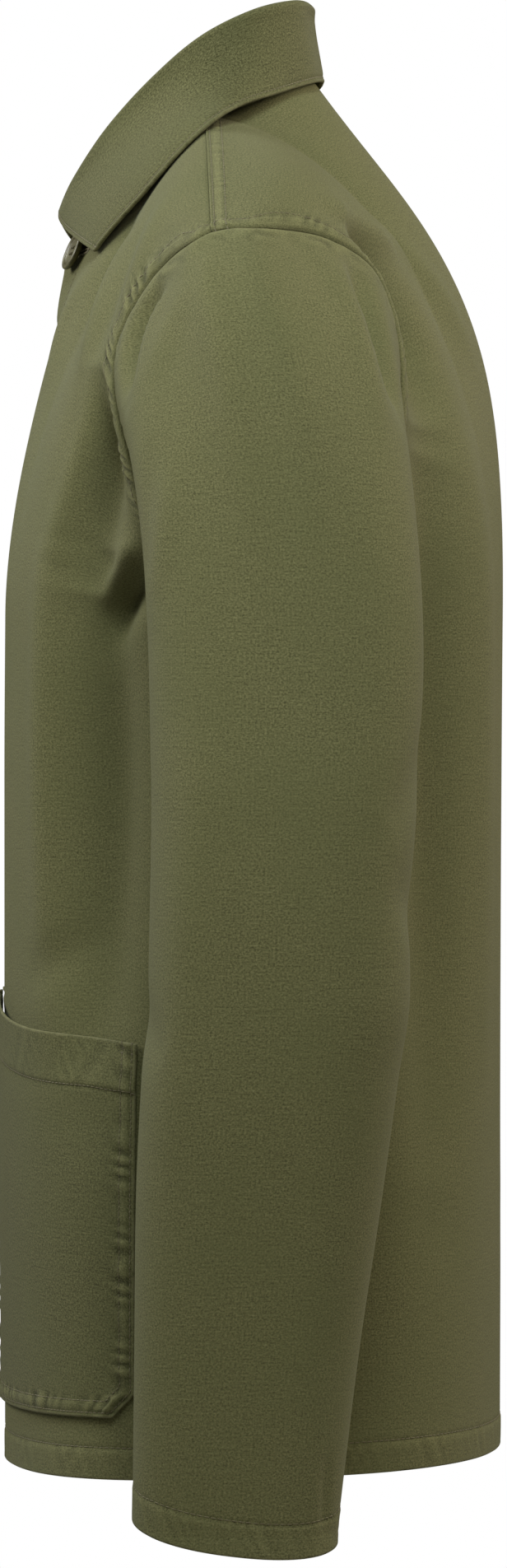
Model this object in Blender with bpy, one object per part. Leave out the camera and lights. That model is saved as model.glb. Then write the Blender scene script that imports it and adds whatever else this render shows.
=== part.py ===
"""A chore jacket, hollow and filled out as it is worn. Metres, +Z up, the wearer's left at +X, front at -Y.

The origin is at the root of the neck, where the shoulders carry the jacket. Each panel is a wall of
cloth: a grid of points on one shared surface, and the same points moved inwards by the cloth.
"""

import math

import bpy
import numpy as np
from mathutils import Vector

CLOTH = 0.0015             # wall of one panel
COLLAR_CLOTH = 0.0022      # two plies and the stiffening between them
SEAM_GAP = 0.0006          # between pieces that are sewn together
LAP = 0.020                # how far the left front passes the middle, over the right one

SHOULDER = (0.228, 0.000, -0.0712)  # end of the shoulder seam, on the armhole
NECK = (0.075, -0.004, -0.003)      # where the shoulder seam meets the neckline
NECK_FRONT = (-0.0580, -0.0580)     # y, z of the neckline at the centre front
NECK_BACK = (0.0480, 0.0240)        # y, z of the neckline at the centre back
SIDE = (0.213, 0.017, -0.252)       # top of the side seam, under the arm
HEM_FRONT, HEM_BACK = -0.670, -0.665
ROUND_FRONT, ROUND_BACK = 2.75, 2.55   # superellipse powers of the two halves

# The body below the arms: a row for each height.
BODY = {
    "z": (-0.670, -0.560, -0.430, -0.330, -0.252),
    "half": (0.2120, 0.2085, 0.2060, 0.2085, 0.2130),
    "front": (-0.1050, -0.1052, -0.1054, -0.1054, -0.1050),
    "back": (0.1444, 0.1448, 0.1455, 0.1460, 0.1463),
}

# The body above the underarm: a row for each upright line, from the middle (0) to the side (1).
# lift is how far a line runs straight up from the underarm level, and x, y, z is the way that it
# leaves its top edge.
FRONT_LINES = {
    "at": (0, 1 / 3, 2 / 3, 1),
    "lift": (0.074, 0.082, 0.095, 0.090),
    "x": (0.000, 0.016, 0.022, 0.006),
    "y": (-0.0250, -0.036, -0.044, -0.040),
    "z": (-0.0390, -0.040, -0.024, -0.014),
}
BACK_LINES = {
    "at": (0, 1 / 3, 2 / 3, 1),
    "lift": (0.153, 0.140, 0.126, 0.110),
    "x": (0.000, 0.022, 0.036, 0.014),
    "y": (0.0865, 0.073, 0.078, 0.062),
    "z": (-0.124, -0.010, 0.012, 0.016),
}

# The armhole seam as the side view has it, from the shoulder seam down to the side seam.
ARMHOLE_FRONT = {
    "y": (0.0000, -0.0226, -0.0402, -0.0461, -0.0461, -0.0380, -0.0240, -0.0045, 0.0170),
    "z": (-0.0712, -0.0854, -0.1101, -0.1263, -0.1488, -0.1792, -0.2110, -0.2390, -0.2520),
}
ARMHOLE_BACK = {
    "y": (0.0000, 0.0274, 0.0545, 0.0768, 0.0865, 0.0912, 0.0898, 0.0750, 0.0475, 0.0170),
    "z": (-0.0712, -0.0693, -0.0722, -0.0843, -0.1028, -0.1300, -0.1560, -0.2085, -0.2410, -0.2520),
}

# The sleeve below the armhole: a row for each height.
SLEEVE = {
    "z": (-0.300, -0.346, -0.398, -0.433, -0.474, -0.537, -0.601, -0.6872),
    "front": (-0.0286, -0.0278, -0.0286, -0.0296, -0.0325, -0.0353, -0.0360, -0.0370),
    "back": (0.0997, 0.0972, 0.0941, 0.0934, 0.0872, 0.0774, 0.0659, 0.0570),
    "inner": (0.2230, 0.2235, 0.2225, 0.2220, 0.2215, 0.2205, 0.2200, 0.2195),
    "outer": (0.3200, 0.3260, 0.3280, 0.3270, 0.3240, 0.3160, 0.3070, 0.2960),
}
SLEEVE_ROUND = 2.2
CUFF_DROP_OUT = 0.244      # the cuff's slope down towards its outer side
CUFF_DROP_BACK = 0.112     # and down towards the back

# How the sleeve leaves the armhole: a row for each direction round it, from the underarm (0) over
# the front (0.25), the shoulder (0.5) and the back (0.75). x, y, z is its pull at the seam, and
# rise its pull above the first ring.
CAP = {
    "turn": (0, 0.125, 0.25, 0.375, 0.5, 0.625, 0.75, 0.875, 1),
    "x": (0.010, 0.025, 0.050, 0.064, 0.064, 0.064, 0.050, 0.025, 0.010),
    "y": (0.000, 0.004, 0.008, -0.002, 0.004, 0.010, 0.020, 0.006, 0.000),
    "z": (-0.020, -0.020, -0.020, -0.030, -0.040, -0.030, -0.030, -0.020, -0.020),
    "rise": (0.020, 0.040, 0.080, 0.120, 0.130, 0.120, 0.080, 0.040, 0.020),
}


# ---------------------------------------------------------------- curves
def through(x, keys, values):
    """A smooth line through the rows of a table, with no overshoot."""
    order = np.argsort(keys)
    keys, values = np.asarray(keys, float)[order], np.asarray(values, float)[order]
    x = np.clip(x, keys[0], keys[-1])
    step = np.diff(keys)
    slope = np.diff(values) / step
    before, after = slope[:-1], slope[1:]
    one_way = before * after > 0
    middle = np.where(one_way, 2 * before * after / np.where(one_way, before + after, 1), 0)
    slopes = np.concatenate([[slope[0]], middle, [slope[-1]]])
    i = np.clip(np.searchsorted(keys, x, side="right") - 1, 0, len(step) - 1)
    t = (x - keys[i]) / step[i]
    rise = t * t * (3 - 2 * t)
    bend = step[i] * t * (1 - t) * ((1 - t) * slopes[i] - t * slopes[i + 1])
    return values[i] * (1 - rise) + values[i + 1] * rise + bend


def row(table, key, x):
    """Every other column of a table at x of its key column."""
    return {name: through(x, table[key], table[name]) for name in table if name != key}


def round_curve(points, count):
    """count + 1 points at equal steps along a round curve through the points."""
    points = np.asarray(points, float)
    gaps = np.linalg.norm(np.diff(points, axis=0), axis=1) ** 0.5
    chord = np.diff(points, axis=0) / gaps[:, None]
    share = (gaps[:-1] / (gaps[:-1] + gaps[1:]))[:, None]
    inner = chord[:-1] * (1 - share) + chord[1:] * share
    slopes = np.vstack([1.5 * chord[0] - 0.5 * inner[0], inner, 1.5 * chord[-1] - 0.5 * inner[-1]])
    t = np.linspace(0, 1, 40)[:, None]
    pieces = [
        points[i] * (1 + 2 * t) * (1 - t) ** 2
        + points[i + 1] * t * t * (3 - 2 * t)
        + gaps[i] * t * (1 - t) * (slopes[i] * (1 - t) - slopes[i + 1] * t)
        for i in range(len(gaps))
    ]
    return evenly(np.vstack([piece[:-1] for piece in pieces] + [points[-1:]]), count)


def evenly(points, count):
    """count + 1 points at equal steps along a line of points."""
    along = np.concatenate([[0], np.cumsum(np.linalg.norm(np.diff(points, axis=0), axis=1))])
    at = np.linspace(0, along[-1], count + 1)
    return np.stack([np.interp(at, along, column) for column in points.T], axis=1)


def unit(vectors):
    return vectors / np.linalg.norm(vectors, axis=-1, keepdims=True)


def smooth_step(x):
    x = np.clip(x, 0, 1)
    return x * x * (3 - 2 * x)


def bezier(p0, p1, p2, p3, t):
    t = np.asarray(t)[..., None]
    return p0 * (1 - t) ** 3 + 3 * p1 * t * (1 - t) ** 2 + 3 * p2 * t * t * (1 - t) + p3 * t**3


# ---------------------------------------------------------------- the body's surface
def quarter_outline(power):
    """A quarter of a superellipse, (across, along) from 0 to 1, at equal steps from middle to side."""
    angle = np.linspace(0, math.pi / 2, 600)
    half, depth = SIDE[0], (BODY["back"][-1] - BODY["front"][-1]) / 2
    points = np.stack([half * np.sin(angle) ** (2 / power), depth * np.cos(angle) ** (2 / power)], 1)
    return evenly(points, 400) / (half, depth)


QUARTERS = (quarter_outline(ROUND_FRONT), quarter_outline(ROUND_BACK))


def to_quarter(u):
    """u runs round the body: 0 centre front, 0.5 left side, 1 centre back, negative on the right.
    This gives the share of the way from the middle to the side, whether at the back, and the side."""
    u = (np.asarray(u, float) + 1) % 2 - 1
    a = np.abs(u)
    back = a > 0.5
    return 2 * np.where(back, 1 - a, a), back, np.where(u < 0, -1.0, 1.0)


def outline(share, back, z):
    size = row(BODY, "z", z)
    steps = np.linspace(0, 1, len(QUARTERS[0]))
    front_xy, back_xy = ([np.interp(share, steps, column) for column in q.T] for q in QUARTERS)
    across = np.where(back, back_xy[0], front_xy[0])
    along = np.where(back, back_xy[1], front_xy[1])
    y = SIDE[1] + along * (np.where(back, size["back"], size["front"]) - SIDE[1])
    return np.stack([across * size["half"], y, z], axis=-1)


NECK_SHARE = 1 / 3         # the part of the top edge that is neckline, the rest being shoulder seam
SHOULDER_RISE = 0.004      # how much the shoulder seam arches
NECK_DROP = (0.95, 1.8)    # how the neckline drops from front and back to the sides, as powers


def top_edge(share, back):
    """The neckline and then the shoulder seam."""
    turn = np.clip(share / NECK_SHARE, 0, 1) * math.pi / 2
    y, z = (np.where(back, b, f) for f, b in zip(NECK_FRONT, NECK_BACK))
    neck_y = NECK[1] + (y - NECK[1]) * np.cos(turn)
    neck_z = NECK[2] + (z - NECK[2]) * np.cos(turn) ** np.where(back, NECK_DROP[1], NECK_DROP[0])
    neck = np.stack([NECK[0] * np.sin(turn), neck_y, neck_z], axis=-1)
    t = np.clip((share - NECK_SHARE) / (1 - NECK_SHARE), 0, 1)[..., None]
    seam = np.asarray(NECK) * (1 - t) + np.asarray(SHOULDER) * t
    seam[..., 2] += SHOULDER_RISE * np.sin(math.pi * t[..., 0])
    return np.where((share < NECK_SHARE)[..., None], neck, seam)


# The closing: the middle of the front lies a little back, and near the neck its free edge stands out.
CLOSING = {
    "z": (-0.300, -0.180, -0.110, -0.094, -0.080, -0.058),
    "hollow": (0.0050, 0.0075, 0.0025, 0.001, 0.000, 0.000),
    "flare": (0.000, 0.000, 0.000, 0.004, 0.0072, 0.0113),
}
HOLLOW_WIDE = 0.055        # u over which the hollow fades
FLARE = {"u": (-0.085, -0.045, -0.036, 0.018), "share": (0, 0.9, 1, 0)}


def closing(u, z):
    """How far the closing's cloth lies forward."""
    size = row(CLOSING, "z", z)
    return size["flare"] * through(u, FLARE["u"], FLARE["share"]) - size["hollow"] * np.exp(
        -((u / HOLLOW_WIDE) ** 2)
    )


def body(u, b):
    """A point of the body: b is 0 at the hem, 1 at the underarm and 2 at neckline and shoulder seam."""
    share, back, side = to_quarter(u)
    level = np.full_like(share, SIDE[2])
    around = np.where(back, 1 - share / 2, share / 2)
    hem = HEM_FRONT + (HEM_BACK - HEM_FRONT) * smooth_step(2 * around - 0.5)
    low = outline(share, back, hem + (level - hem) * np.clip(b, 0, 1))
    rim, below = outline(share, back, level), outline(share, back, level - 0.01)
    front_pull, back_pull = row(FRONT_LINES, "at", share), row(BACK_LINES, "at", share)
    pull = {name: np.where(back, back_pull[name], front_pull[name]) for name in front_pull}
    top = top_edge(share, back)
    first = rim + unit(rim - below) * pull["lift"][..., None]
    second = top + np.stack([pull["x"], pull["y"], pull["z"]], axis=-1)
    high = bezier(rim, first, second, top, np.clip(b - 1, 0, 1))
    point = np.where((np.asarray(b) > 1)[..., None], high, low)
    point[..., 0] *= side
    point[..., 1] -= closing((np.asarray(u, float) + 1) % 2 - 1, point[..., 2])
    return point


SEARCH_STEP = 1e-5
SEARCH_ROUNDS = 40
SEARCH_SHARE = 0.7         # of each step that the search takes
MOST_U, MOST_B = 0.03, 0.1 # its longest steps
B_FROM, B_TO = 1.0001, 1.9999


def find_on_body(y, z, u, back):
    """The (u, b) of the points of the left side that the side view has at y, z. u is a first guess."""
    u, b = np.array(u, float), np.full(len(y), 1.5)
    target = np.stack([y, z], axis=-1)
    du = SEARCH_STEP if back else -SEARCH_STEP
    for _ in range(SEARCH_ROUNDS):
        here = body(u, b)[..., 1:]
        by_u = (body(u + du, b)[..., 1:] - here) / du
        by_b = (here - body(u, b - SEARCH_STEP)[..., 1:]) / SEARCH_STEP
        miss = target - here
        turn = by_u[:, 0] * by_b[:, 1] - by_u[:, 1] * by_b[:, 0]
        move_u = (miss[:, 0] * by_b[:, 1] - miss[:, 1] * by_b[:, 0]) / turn
        move_b = (by_u[:, 0] * miss[:, 1] - by_u[:, 1] * miss[:, 0]) / turn
        u = u + SEARCH_SHARE * np.clip(move_u, -MOST_U, MOST_U)
        u = np.maximum(u, 0.5) if back else np.minimum(u, 0.5)
        b = np.clip(b + SEARCH_SHARE * np.clip(move_b, -MOST_B, MOST_B), B_FROM, B_TO)
    return u, b


# ---------------------------------------------------------------- folds
# Each fold is a soft ridge (high above 0) or trough (below 0) along a line over the surface from one
# (u, b) by way of another to a third, wide being how far it spreads to each side.
BODY_FOLDS = {
    "chest_break_left": {"u": (0.335, 0.338, 0.355), "b": (1.50, 1.30, 0.60), "wide": 0.016, "high": -0.007},
    "chest_break_right": {"u": (-0.340, -0.345, -0.360), "b": (1.48, 1.26, 0.66), "wide": 0.017, "high": -0.007},
    "front_roll_left": {"u": (0.300, 0.290, 0.300), "b": (1.42, 1.22, 0.80), "wide": 0.018, "high": 0.003},
    "front_roll_right": {"u": (-0.305, -0.290, -0.305), "b": (1.40, 1.20, 0.84), "wide": 0.019, "high": 0.003},
    "back_roll_left": {"u": (0.665, 0.730, 0.745), "b": (1.62, 1.42, 1.05), "wide": 0.018, "high": 0.005},
    "back_roll_right": {"u": (-0.660, -0.725, -0.735), "b": (1.60, 1.44, 1.10), "wide": 0.018, "high": 0.005},
    "back_fall_left": {"u": (0.655, 0.660, 0.640), "b": (1.34, 1.05, 0.55), "wide": 0.020, "high": -0.006},
    "back_fall_right": {"u": (-0.655, -0.655, -0.635), "b": (1.34, 1.02, 0.60), "wide": 0.021, "high": -0.006},
}
SLEEVE_FOLDS = {
    "back_dent": {"turn": (0.680, 0.740, 0.790), "down": (0.03, 0.12, 0.26), "wide": 0.012, "high": -0.005},
    "back_roll": {"turn": (0.730, 0.775, 0.800), "down": (0.02, 0.10, 0.24), "wide": 0.010, "high": 0.003},
    "front_dent": {"turn": (0.330, 0.260, 0.215), "down": (0.03, 0.07, 0.18), "wide": 0.010, "high": -0.006},
    "long_ridge": {"turn": (0.390, 0.375, 0.370), "down": (0.25, 0.45, 0.62), "wide": 0.014, "high": 0.002},
    "elbow": {"turn": (0.200, 0.300, 0.380), "down": (0.52, 0.56, 0.58), "wide": 0.016, "high": -0.002},
}
FOLD_STEPS = 16


def fold_line(surface, across, along):
    """Points of a surface on the curve that starts, passes its middle and ends at the three places."""
    t = np.linspace(0, 1, FOLD_STEPS)
    weights = np.stack([(1 - t) * (1 - 2 * t), 4 * t * (1 - t), t * (2 * t - 1)])
    return surface(np.asarray(across) @ weights, np.asarray(along) @ weights)


def fold_height(points, line, wide, high):
    """How far a fold along the line moves each point out."""
    start, run = line[:-1], np.diff(line, axis=0)
    away = points[..., None, :] - start
    share = np.clip((away * run).sum(-1) / (run * run).sum(-1), 0, 1)
    gap = np.linalg.norm(away - share[..., None] * run, axis=-1)
    nearest = gap.argmin(-1)[..., None]
    at = (nearest + np.take_along_axis(share, nearest, -1))[..., 0] / (len(line) - 1)
    fade = np.sin(math.pi * np.clip(at, 0.02, 0.98)) ** 0.7
    return high * fade * np.exp(-((np.take_along_axis(gap, nearest, -1)[..., 0] / wide) ** 2))


def normals(surface, u, v, du, dv):
    """The outward normals of a surface, by steps du, dv that stay on it."""
    here = surface(u, v)
    along_u = (surface(u + du, v) - here) * np.sign(du)[..., None]
    along_v = (surface(u, v + dv) - here) * np.sign(dv)[..., None]
    return unit(np.cross(along_u, along_v))


STEP = 1e-4
BODY_LINES = [(fold_line(body, f["u"], f["b"]), f["wide"], f["high"]) for f in BODY_FOLDS.values()]


def body_normal(u, b):
    """Outward normals of the body without folds. A step in u stays on its own side of a side seam."""
    u = np.asarray(u, float)
    wrapped = (u + 1) % 2 - 1
    inwards = np.where(np.abs(wrapped) > 0.5, np.sign(wrapped), -np.sign(wrapped))
    du = np.where(wrapped == 0, STEP, inwards * STEP)
    return normals(body, u, b, du, np.where(np.asarray(b) > 0.5, -STEP, STEP))


def folded_body(u, b):
    """The body with its folds, which fade out at hem and neckline."""
    points = body(u, b)
    height = sum(fold_height(points, *line) for line in BODY_LINES)
    return points + body_normal(u, b) * height[..., None]


# ---------------------------------------------------------------- the armhole and the sleeve
ARM_STEPS = 400
SLEEVE_FOLD_START = 0.06   # the share of the sleeve's length over which its folds set in


def armhole_path(table, guess, back):
    """(u, b) at equal steps from the shoulder seam to the side seam."""
    line = round_curve(np.stack([table["y"], table["z"]], axis=1), ARM_STEPS)
    start = guess + (0.5 - guess) * np.abs(np.linspace(-1, 1, len(line))) ** 2
    u, b = find_on_body(*line.T, start, back)
    u[0] = u[-1] = 0.5
    b[0], b[-1] = 2, 1
    return u, b


ARMHOLES = {back: armhole_path(*given, back) for back, given in {
    False: (ARMHOLE_FRONT, 0.38),
    True: (ARMHOLE_BACK, 0.66),
}.items()}


def armhole(t, back):
    """(u, b) on the armhole's edge, t from 0 at the side seam to 1 at the shoulder seam."""
    u, b = ARMHOLES[back]
    at = np.linspace(1, 0, len(u))
    return np.interp(t, at[::-1], u[::-1]), np.interp(t, at[::-1], b[::-1])


def round_armhole(turn):
    """(u, b) on the edge, for a turn from 0 at the side seam by the front to 0.5 at the shoulder."""
    front_u, front_b = armhole(2 * turn, False)
    back_u, back_b = armhole(2 - 2 * turn, True)
    front = np.asarray(turn) <= 0.5
    return np.where(front, front_u, back_u), np.where(front, front_b, back_b)


def sleeve_ring(turn, z):
    size = row(SLEEVE, "z", z)
    angle = 2 * math.pi * np.asarray(turn)
    across, along = -np.cos(angle), -np.sin(angle)
    power = 2 / SLEEVE_ROUND
    x = (size["outer"] + size["inner"]) / 2 + (size["outer"] - size["inner"]) / 2 * np.sign(
        across
    ) * np.abs(across) ** power
    y = (size["back"] + size["front"]) / 2 + (size["back"] - size["front"]) / 2 * np.sign(
        along
    ) * np.abs(along) ** power
    return np.stack([x, y, z], axis=-1)


def cuff_height(turn):
    """The height of the cuff's edge, which slopes."""
    flat = sleeve_ring(turn, np.full_like(turn, SLEEVE["z"][-1]))
    middle = (SLEEVE["outer"][-1] + SLEEVE["inner"][-1]) / 2
    centre = (SLEEVE["front"][-1] + SLEEVE["back"][-1]) / 2
    return flat[..., 2] - CUFF_DROP_OUT * (flat[..., 0] - middle) - CUFF_DROP_BACK * (flat[..., 1] - centre)


CAP_END = 0.22             # the share of the sleeve's length that is its cap


def sleeve(turn, down):
    """A point of the left sleeve: down is 0 at the armhole and 1 at the cuff."""
    turn, down = np.broadcast_arrays(np.asarray(turn, float), np.asarray(down, float))
    turn = turn % 1
    first_z = np.full_like(turn, SLEEVE["z"][0])
    share = np.clip((down - CAP_END) / (1 - CAP_END), 0, 1)
    low = sleeve_ring(turn, first_z + (cuff_height(turn) - first_z) * share)
    ring, below = sleeve_ring(turn, first_z), sleeve_ring(turn, first_z - 0.01)
    pull = row(CAP, "turn", turn)
    seam = body(*round_armhole(turn))
    leave = seam + np.stack([pull["x"], pull["y"], pull["z"]], axis=-1)
    arrive = ring + unit(ring - below) * pull["rise"][..., None]
    high = bezier(seam, leave, arrive, ring, np.clip(down / CAP_END, 0, 1))
    return np.where((down < CAP_END)[..., None], high, low)


def sleeve_normal(turn, down):
    return normals(sleeve, turn, down, np.full_like(turn, STEP), np.where(down > 0.5, -STEP, STEP)) * -1


SLEEVE_LINES = [
    (fold_line(sleeve, f["turn"], f["down"]), f["wide"], f["high"]) for f in SLEEVE_FOLDS.values()
]


def folded_sleeve(turn, down):
    points = sleeve(turn, down)
    height = sum(fold_height(points, *line) for line in SLEEVE_LINES)
    height = height * smooth_step(down / SLEEVE_FOLD_START)
    return points + sleeve_normal(turn, down) * height[..., None]


def seam_normal(turn):
    """The normal that body and sleeve share along the armhole."""
    u, b = round_armhole(turn)
    return unit(body_normal(u, b) + sleeve_normal(turn, np.zeros_like(turn)))


# ---------------------------------------------------------------- walls
def grid_normals(points, closed):
    """Outward normals of a grid whose rows run down and whose columns run anticlockwise from above."""
    if closed:
        across = np.roll(points, -1, axis=1) - np.roll(points, 1, axis=1)
    else:
        across = np.gradient(points, axis=1)
    down = np.gradient(points, axis=0)
    return unit(np.cross(down, across))


def wall(points, out, thick, side=1, closed=False):
    """Vertices and faces of a closed wall: the grid of points outside, and a copy moved inwards.

    Rows run down, and columns anticlockwise as seen from above, or clockwise on the right side (-1)."""
    rows, columns = points.shape[:2]
    inside = points - out * thick
    vertices = np.concatenate([points.reshape(-1, 3), inside.reshape(-1, 3)])
    shift = rows * columns

    def number(i, j):
        return i * columns + j % columns

    faces = []
    for i in range(rows - 1):
        for j in range(columns if closed else columns - 1):
            quad = [number(i, j), number(i + 1, j), number(i + 1, j + 1), number(i, j + 1)]
            faces.append(quad)
            faces.append([shift + k for k in reversed(quad)])
    edges = []
    for j in range(columns if closed else columns - 1):
        edges.append((number(0, j), number(0, j + 1)))
        edges.append((number(rows - 1, j + 1), number(rows - 1, j)))
    if not closed:
        for i in range(rows - 1):
            edges.append((number(i + 1, 0), number(i, 0)))
            edges.append((number(i, columns - 1), number(i + 1, columns - 1)))
    faces += [[a, b, shift + b, shift + a] for a, b in edges]
    return vertices, faces if side > 0 else [face[::-1] for face in faces]


def material(name, colour, roughness):
    made = bpy.data.materials.new(name)
    made.use_nodes = True
    shader = made.node_tree.nodes["Principled BSDF"]
    shader.inputs["Base Color"].default_value = (*colour, 1)
    shader.inputs["Roughness"].default_value = roughness
    shader.inputs["Metallic"].default_value = 0
    return made


def add(name, vertices, faces, finish):
    mesh = bpy.data.meshes.new(name)
    mesh.from_pydata([tuple(v) for v in vertices], [], faces)
    mesh.shade_smooth()
    mesh.set_sharp_from_angle(angle=math.radians(50))
    mesh.materials.append(finish)
    made = bpy.data.objects.new(name, mesh)
    bpy.context.collection.objects.link(made)
    return made


def edge_inwards(edge, out, inner, closed):
    """Unit steps from an edge of a grid into it, square to the edge and in the surface."""
    along = np.roll(edge, -1, axis=0) - np.roll(edge, 1, axis=0) if closed else np.gradient(edge, axis=0)
    step = unit(np.cross(out, along))
    return step * np.sign(((inner - edge) * step).sum())


def draw_in(points, out, closed=False):
    """Moves the first and last rows and columns of a grid in by half a seam's gap."""
    moved = points.copy()
    half = SEAM_GAP / 2
    moved[0] += half * edge_inwards(points[0], out[0], points[1], closed)
    moved[-1] += half * edge_inwards(points[-1], out[-1], points[-2], closed)
    if not closed:
        moved[:, 0] += half * edge_inwards(points[:, 0], out[:, 0], points[:, 1], False)
        moved[:, -1] += half * edge_inwards(points[:, -1], out[:, -1], points[:, -2], False)
    return moved


# ---------------------------------------------------------------- panels
FRONT_ARC = 0.28           # round the front from its middle to the side seam
LAP_U = 0.5 * LAP / FRONT_ARC
POCKET_U = (0.072, 0.402)  # where the pocket's two sides are
NECK_U = NECK_SHARE / 2    # where the shoulder seam meets the neckline
FRONT_STOPS = (-LAP_U, POCKET_U[0], NECK_U, POCKET_U[1], 0.5)
FRONT_COUNTS = (3, 3, 7, 3)
BACK_STOPS = (0.5, 1 - NECK_U, 1 + NECK_U, 1.5)
BACK_COUNTS = (8, 8, 8)
UPPER_ROWS, LOWER_ROWS = 14, 8
UNDER_LAP = 0.0030         # how much further in the right front lies where the left one covers it
COVER_END, COVER_FADE = 2.4, 1.2   # where that ends and how wide it fades, in laps from the middle


def stepped(stops, counts):
    """Steps between stops, with so many between each two."""
    parts = [np.linspace(a, b, n + 1)[:-1] for a, b, n in zip(stops[:-1], stops[1:], counts)]
    return np.concatenate(parts + [stops[-1:]])


def front_grid(side):
    """(u, b) of the front's grid, from the neckline down, and the turn of its armhole's rows."""
    columns = stepped(FRONT_STOPS, FRONT_COUNTS)
    share = (columns - columns[0]) / (columns[-1] - columns[0])
    t = np.linspace(1, 0, UPPER_ROWS + 1)[:, None]
    hole_u, hole_b = armhole(t, False)
    upper_u = columns[0] + (hole_u - columns[0]) * share
    upper_b = 1 + t + (hole_b - 1 - t) * share**2
    lower_b = np.linspace(1, 0, LOWER_ROWS + 1)[1:, None] + 0 * columns
    u = np.vstack([upper_u, columns + 0 * lower_b])
    return side * u, np.vstack([upper_b, lower_b]), t[:, 0] / 2


def back_grid():
    columns = stepped(BACK_STOPS, BACK_COUNTS)
    share = np.abs(columns - 1) * 2
    t = np.linspace(1, 0, UPPER_ROWS + 1)[:, None]
    hole_u, hole_b = armhole(t, True)
    upper_u = 1 + (columns - 1) * (1 - hole_u) * 2
    upper_b = 1 + t + (hole_b - 1 - t) * share**2
    lower_b = np.linspace(1, 0, LOWER_ROWS + 1)[1:, None] + 0 * columns
    return np.vstack([upper_u, columns + 0 * lower_b]), np.vstack([upper_b, lower_b]), 1 - t[:, 0] / 2


def shoulder_normal(share):
    """The normal that front and back share along the shoulder seam, from the neck (0) to the arm (1)."""
    u = NECK_U + (0.5 - NECK_U) * share
    top = np.full_like(u, 2.0)
    along = unit(body_normal(u, top) + body_normal(1 - u, top))
    end = seam_normal(np.full_like(u, 0.5))
    return unit(along * (1 - share[:, None] ** 4) + end * share[:, None] ** 4)


def front_panel(side):
    u, b, turn = front_grid(side)
    points = folded_body(u, b)
    out = grid_normals(points, False) * side
    neck = sum(FRONT_COUNTS[:2])
    flip = (side, 1, 1)
    out[: UPPER_ROWS + 1, -1] = seam_normal(turn) * flip
    out[0, neck:] = shoulder_normal(np.linspace(0, 1, u.shape[1] - neck)) * flip
    out[0, -1] = seam_normal(turn[:1])[0] * flip
    out[UPPER_ROWS:, -1] = (side, 0, 0)
    if side < 0:
        covered = smooth_step((u + COVER_END * LAP_U) / (COVER_FADE * LAP_U))
        points = points - out * (covered * UNDER_LAP)[..., None]
    return wall(draw_in(points, out), out, CLOTH, side)


def back_panel():
    u, b, turn = back_grid()
    points = folded_body(u, b)
    out = grid_normals(points, False)
    neck = BACK_COUNTS[0]
    right = (-1, 1, 1)
    ramp = np.linspace(0, 1, neck + 1)
    out[: UPPER_ROWS + 1, 0] = seam_normal(turn)
    out[: UPPER_ROWS + 1, -1] = seam_normal(turn) * right
    out[0, : neck + 1] = shoulder_normal(ramp[::-1])
    out[0, -neck - 1 :] = shoulder_normal(ramp) * right
    out[0, 0], out[0, -1] = seam_normal(turn[:1])[0], seam_normal(turn[:1])[0] * right
    out[UPPER_ROWS:, 0], out[UPPER_ROWS:, -1] = (1, 0, 0), (-1, 0, 0)
    return wall(draw_in(points, out), out, CLOTH)


# ---------------------------------------------------------------- sleeves
CAP_ROWS, ARM_ROWS = 7, 9


def sleeve_wall(side):
    turn = np.arange(2 * UPPER_ROWS) / (2 * UPPER_ROWS)
    down = stepped((0, CAP_END, 1), (CAP_ROWS, ARM_ROWS))[:, None]
    points = folded_sleeve(*np.broadcast_arrays(turn[None, :], down))
    across = np.roll(points, -1, axis=1) - np.roll(points, 1, axis=1)
    out = unit(np.cross(np.gradient(points, axis=0), across))
    out[0] = seam_normal(turn)
    points = draw_in(points, out, closed=True)
    flip = (side, 1, 1)
    return wall(points * flip, out * flip, CLOTH, side, closed=True)


# ---------------------------------------------------------------- collar
# The roll line at the top of the collar, from the centre front to the centre back.
ROLL = {
    "x": (0.0030, 0.0300, 0.0520, 0.0650, 0.0700, 0.0635, 0.0400, 0.0000),
    "y": (-0.0755, -0.0676, -0.0507, -0.0280, -0.0055, 0.0195, 0.0400, 0.0486),
    "z": (-0.0430, -0.0286, -0.0051, 0.0187, 0.0372, 0.0504, 0.0575, 0.0588),
}
# The collar's outer edge over the body, from its point to the centre back.
FALL = {
    "x": (0.0710, 0.1040, 0.1060, 0.0900, 0.0640, 0.0340, 0.0000),
    "y": (-0.0592, -0.0265, -0.0012, 0.0134, 0.0350, 0.0508, 0.0566),
    "z": (-0.0700, -0.0342, -0.0090, 0.0005, 0.0098, 0.0170, 0.0206),
}
COLLAR_START = 0.16        # where each half begins, as a share of the neckline's first step
ROLL_RADIUS = 0.0030
STAND_GAP = 0.0014
FALL_BULGE = 0.004         # how much the fall rounds out at its point, fading to none at the back
FALL_LEAVE, FALL_ARRIVE = 0.30, 0.35   # how far its curve's handles reach, as shares of its depth
FRONT_NECK = stepped(FRONT_STOPS, FRONT_COUNTS)[1 : sum(FRONT_COUNTS[:2]) + 1]
BACK_NECK = stepped(BACK_STOPS, BACK_COUNTS)[BACK_COUNTS[0] + 1 : BACK_COUNTS[0] + BACK_COUNTS[1] // 2 + 1]
COLLAR_STEPS = 2 * (len(FRONT_NECK) + len(BACK_NECK) - 1)   # along each half, two for each step of the panels
FALL_STEPS, ROLL_STEPS, STAND_STEPS = 5, 4, 2
UP = np.array([0.0, 0.0, 1.0])


def table_curve(table, count):
    return round_curve(np.stack([table["x"], table["y"], table["z"]], axis=1), count)


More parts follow.
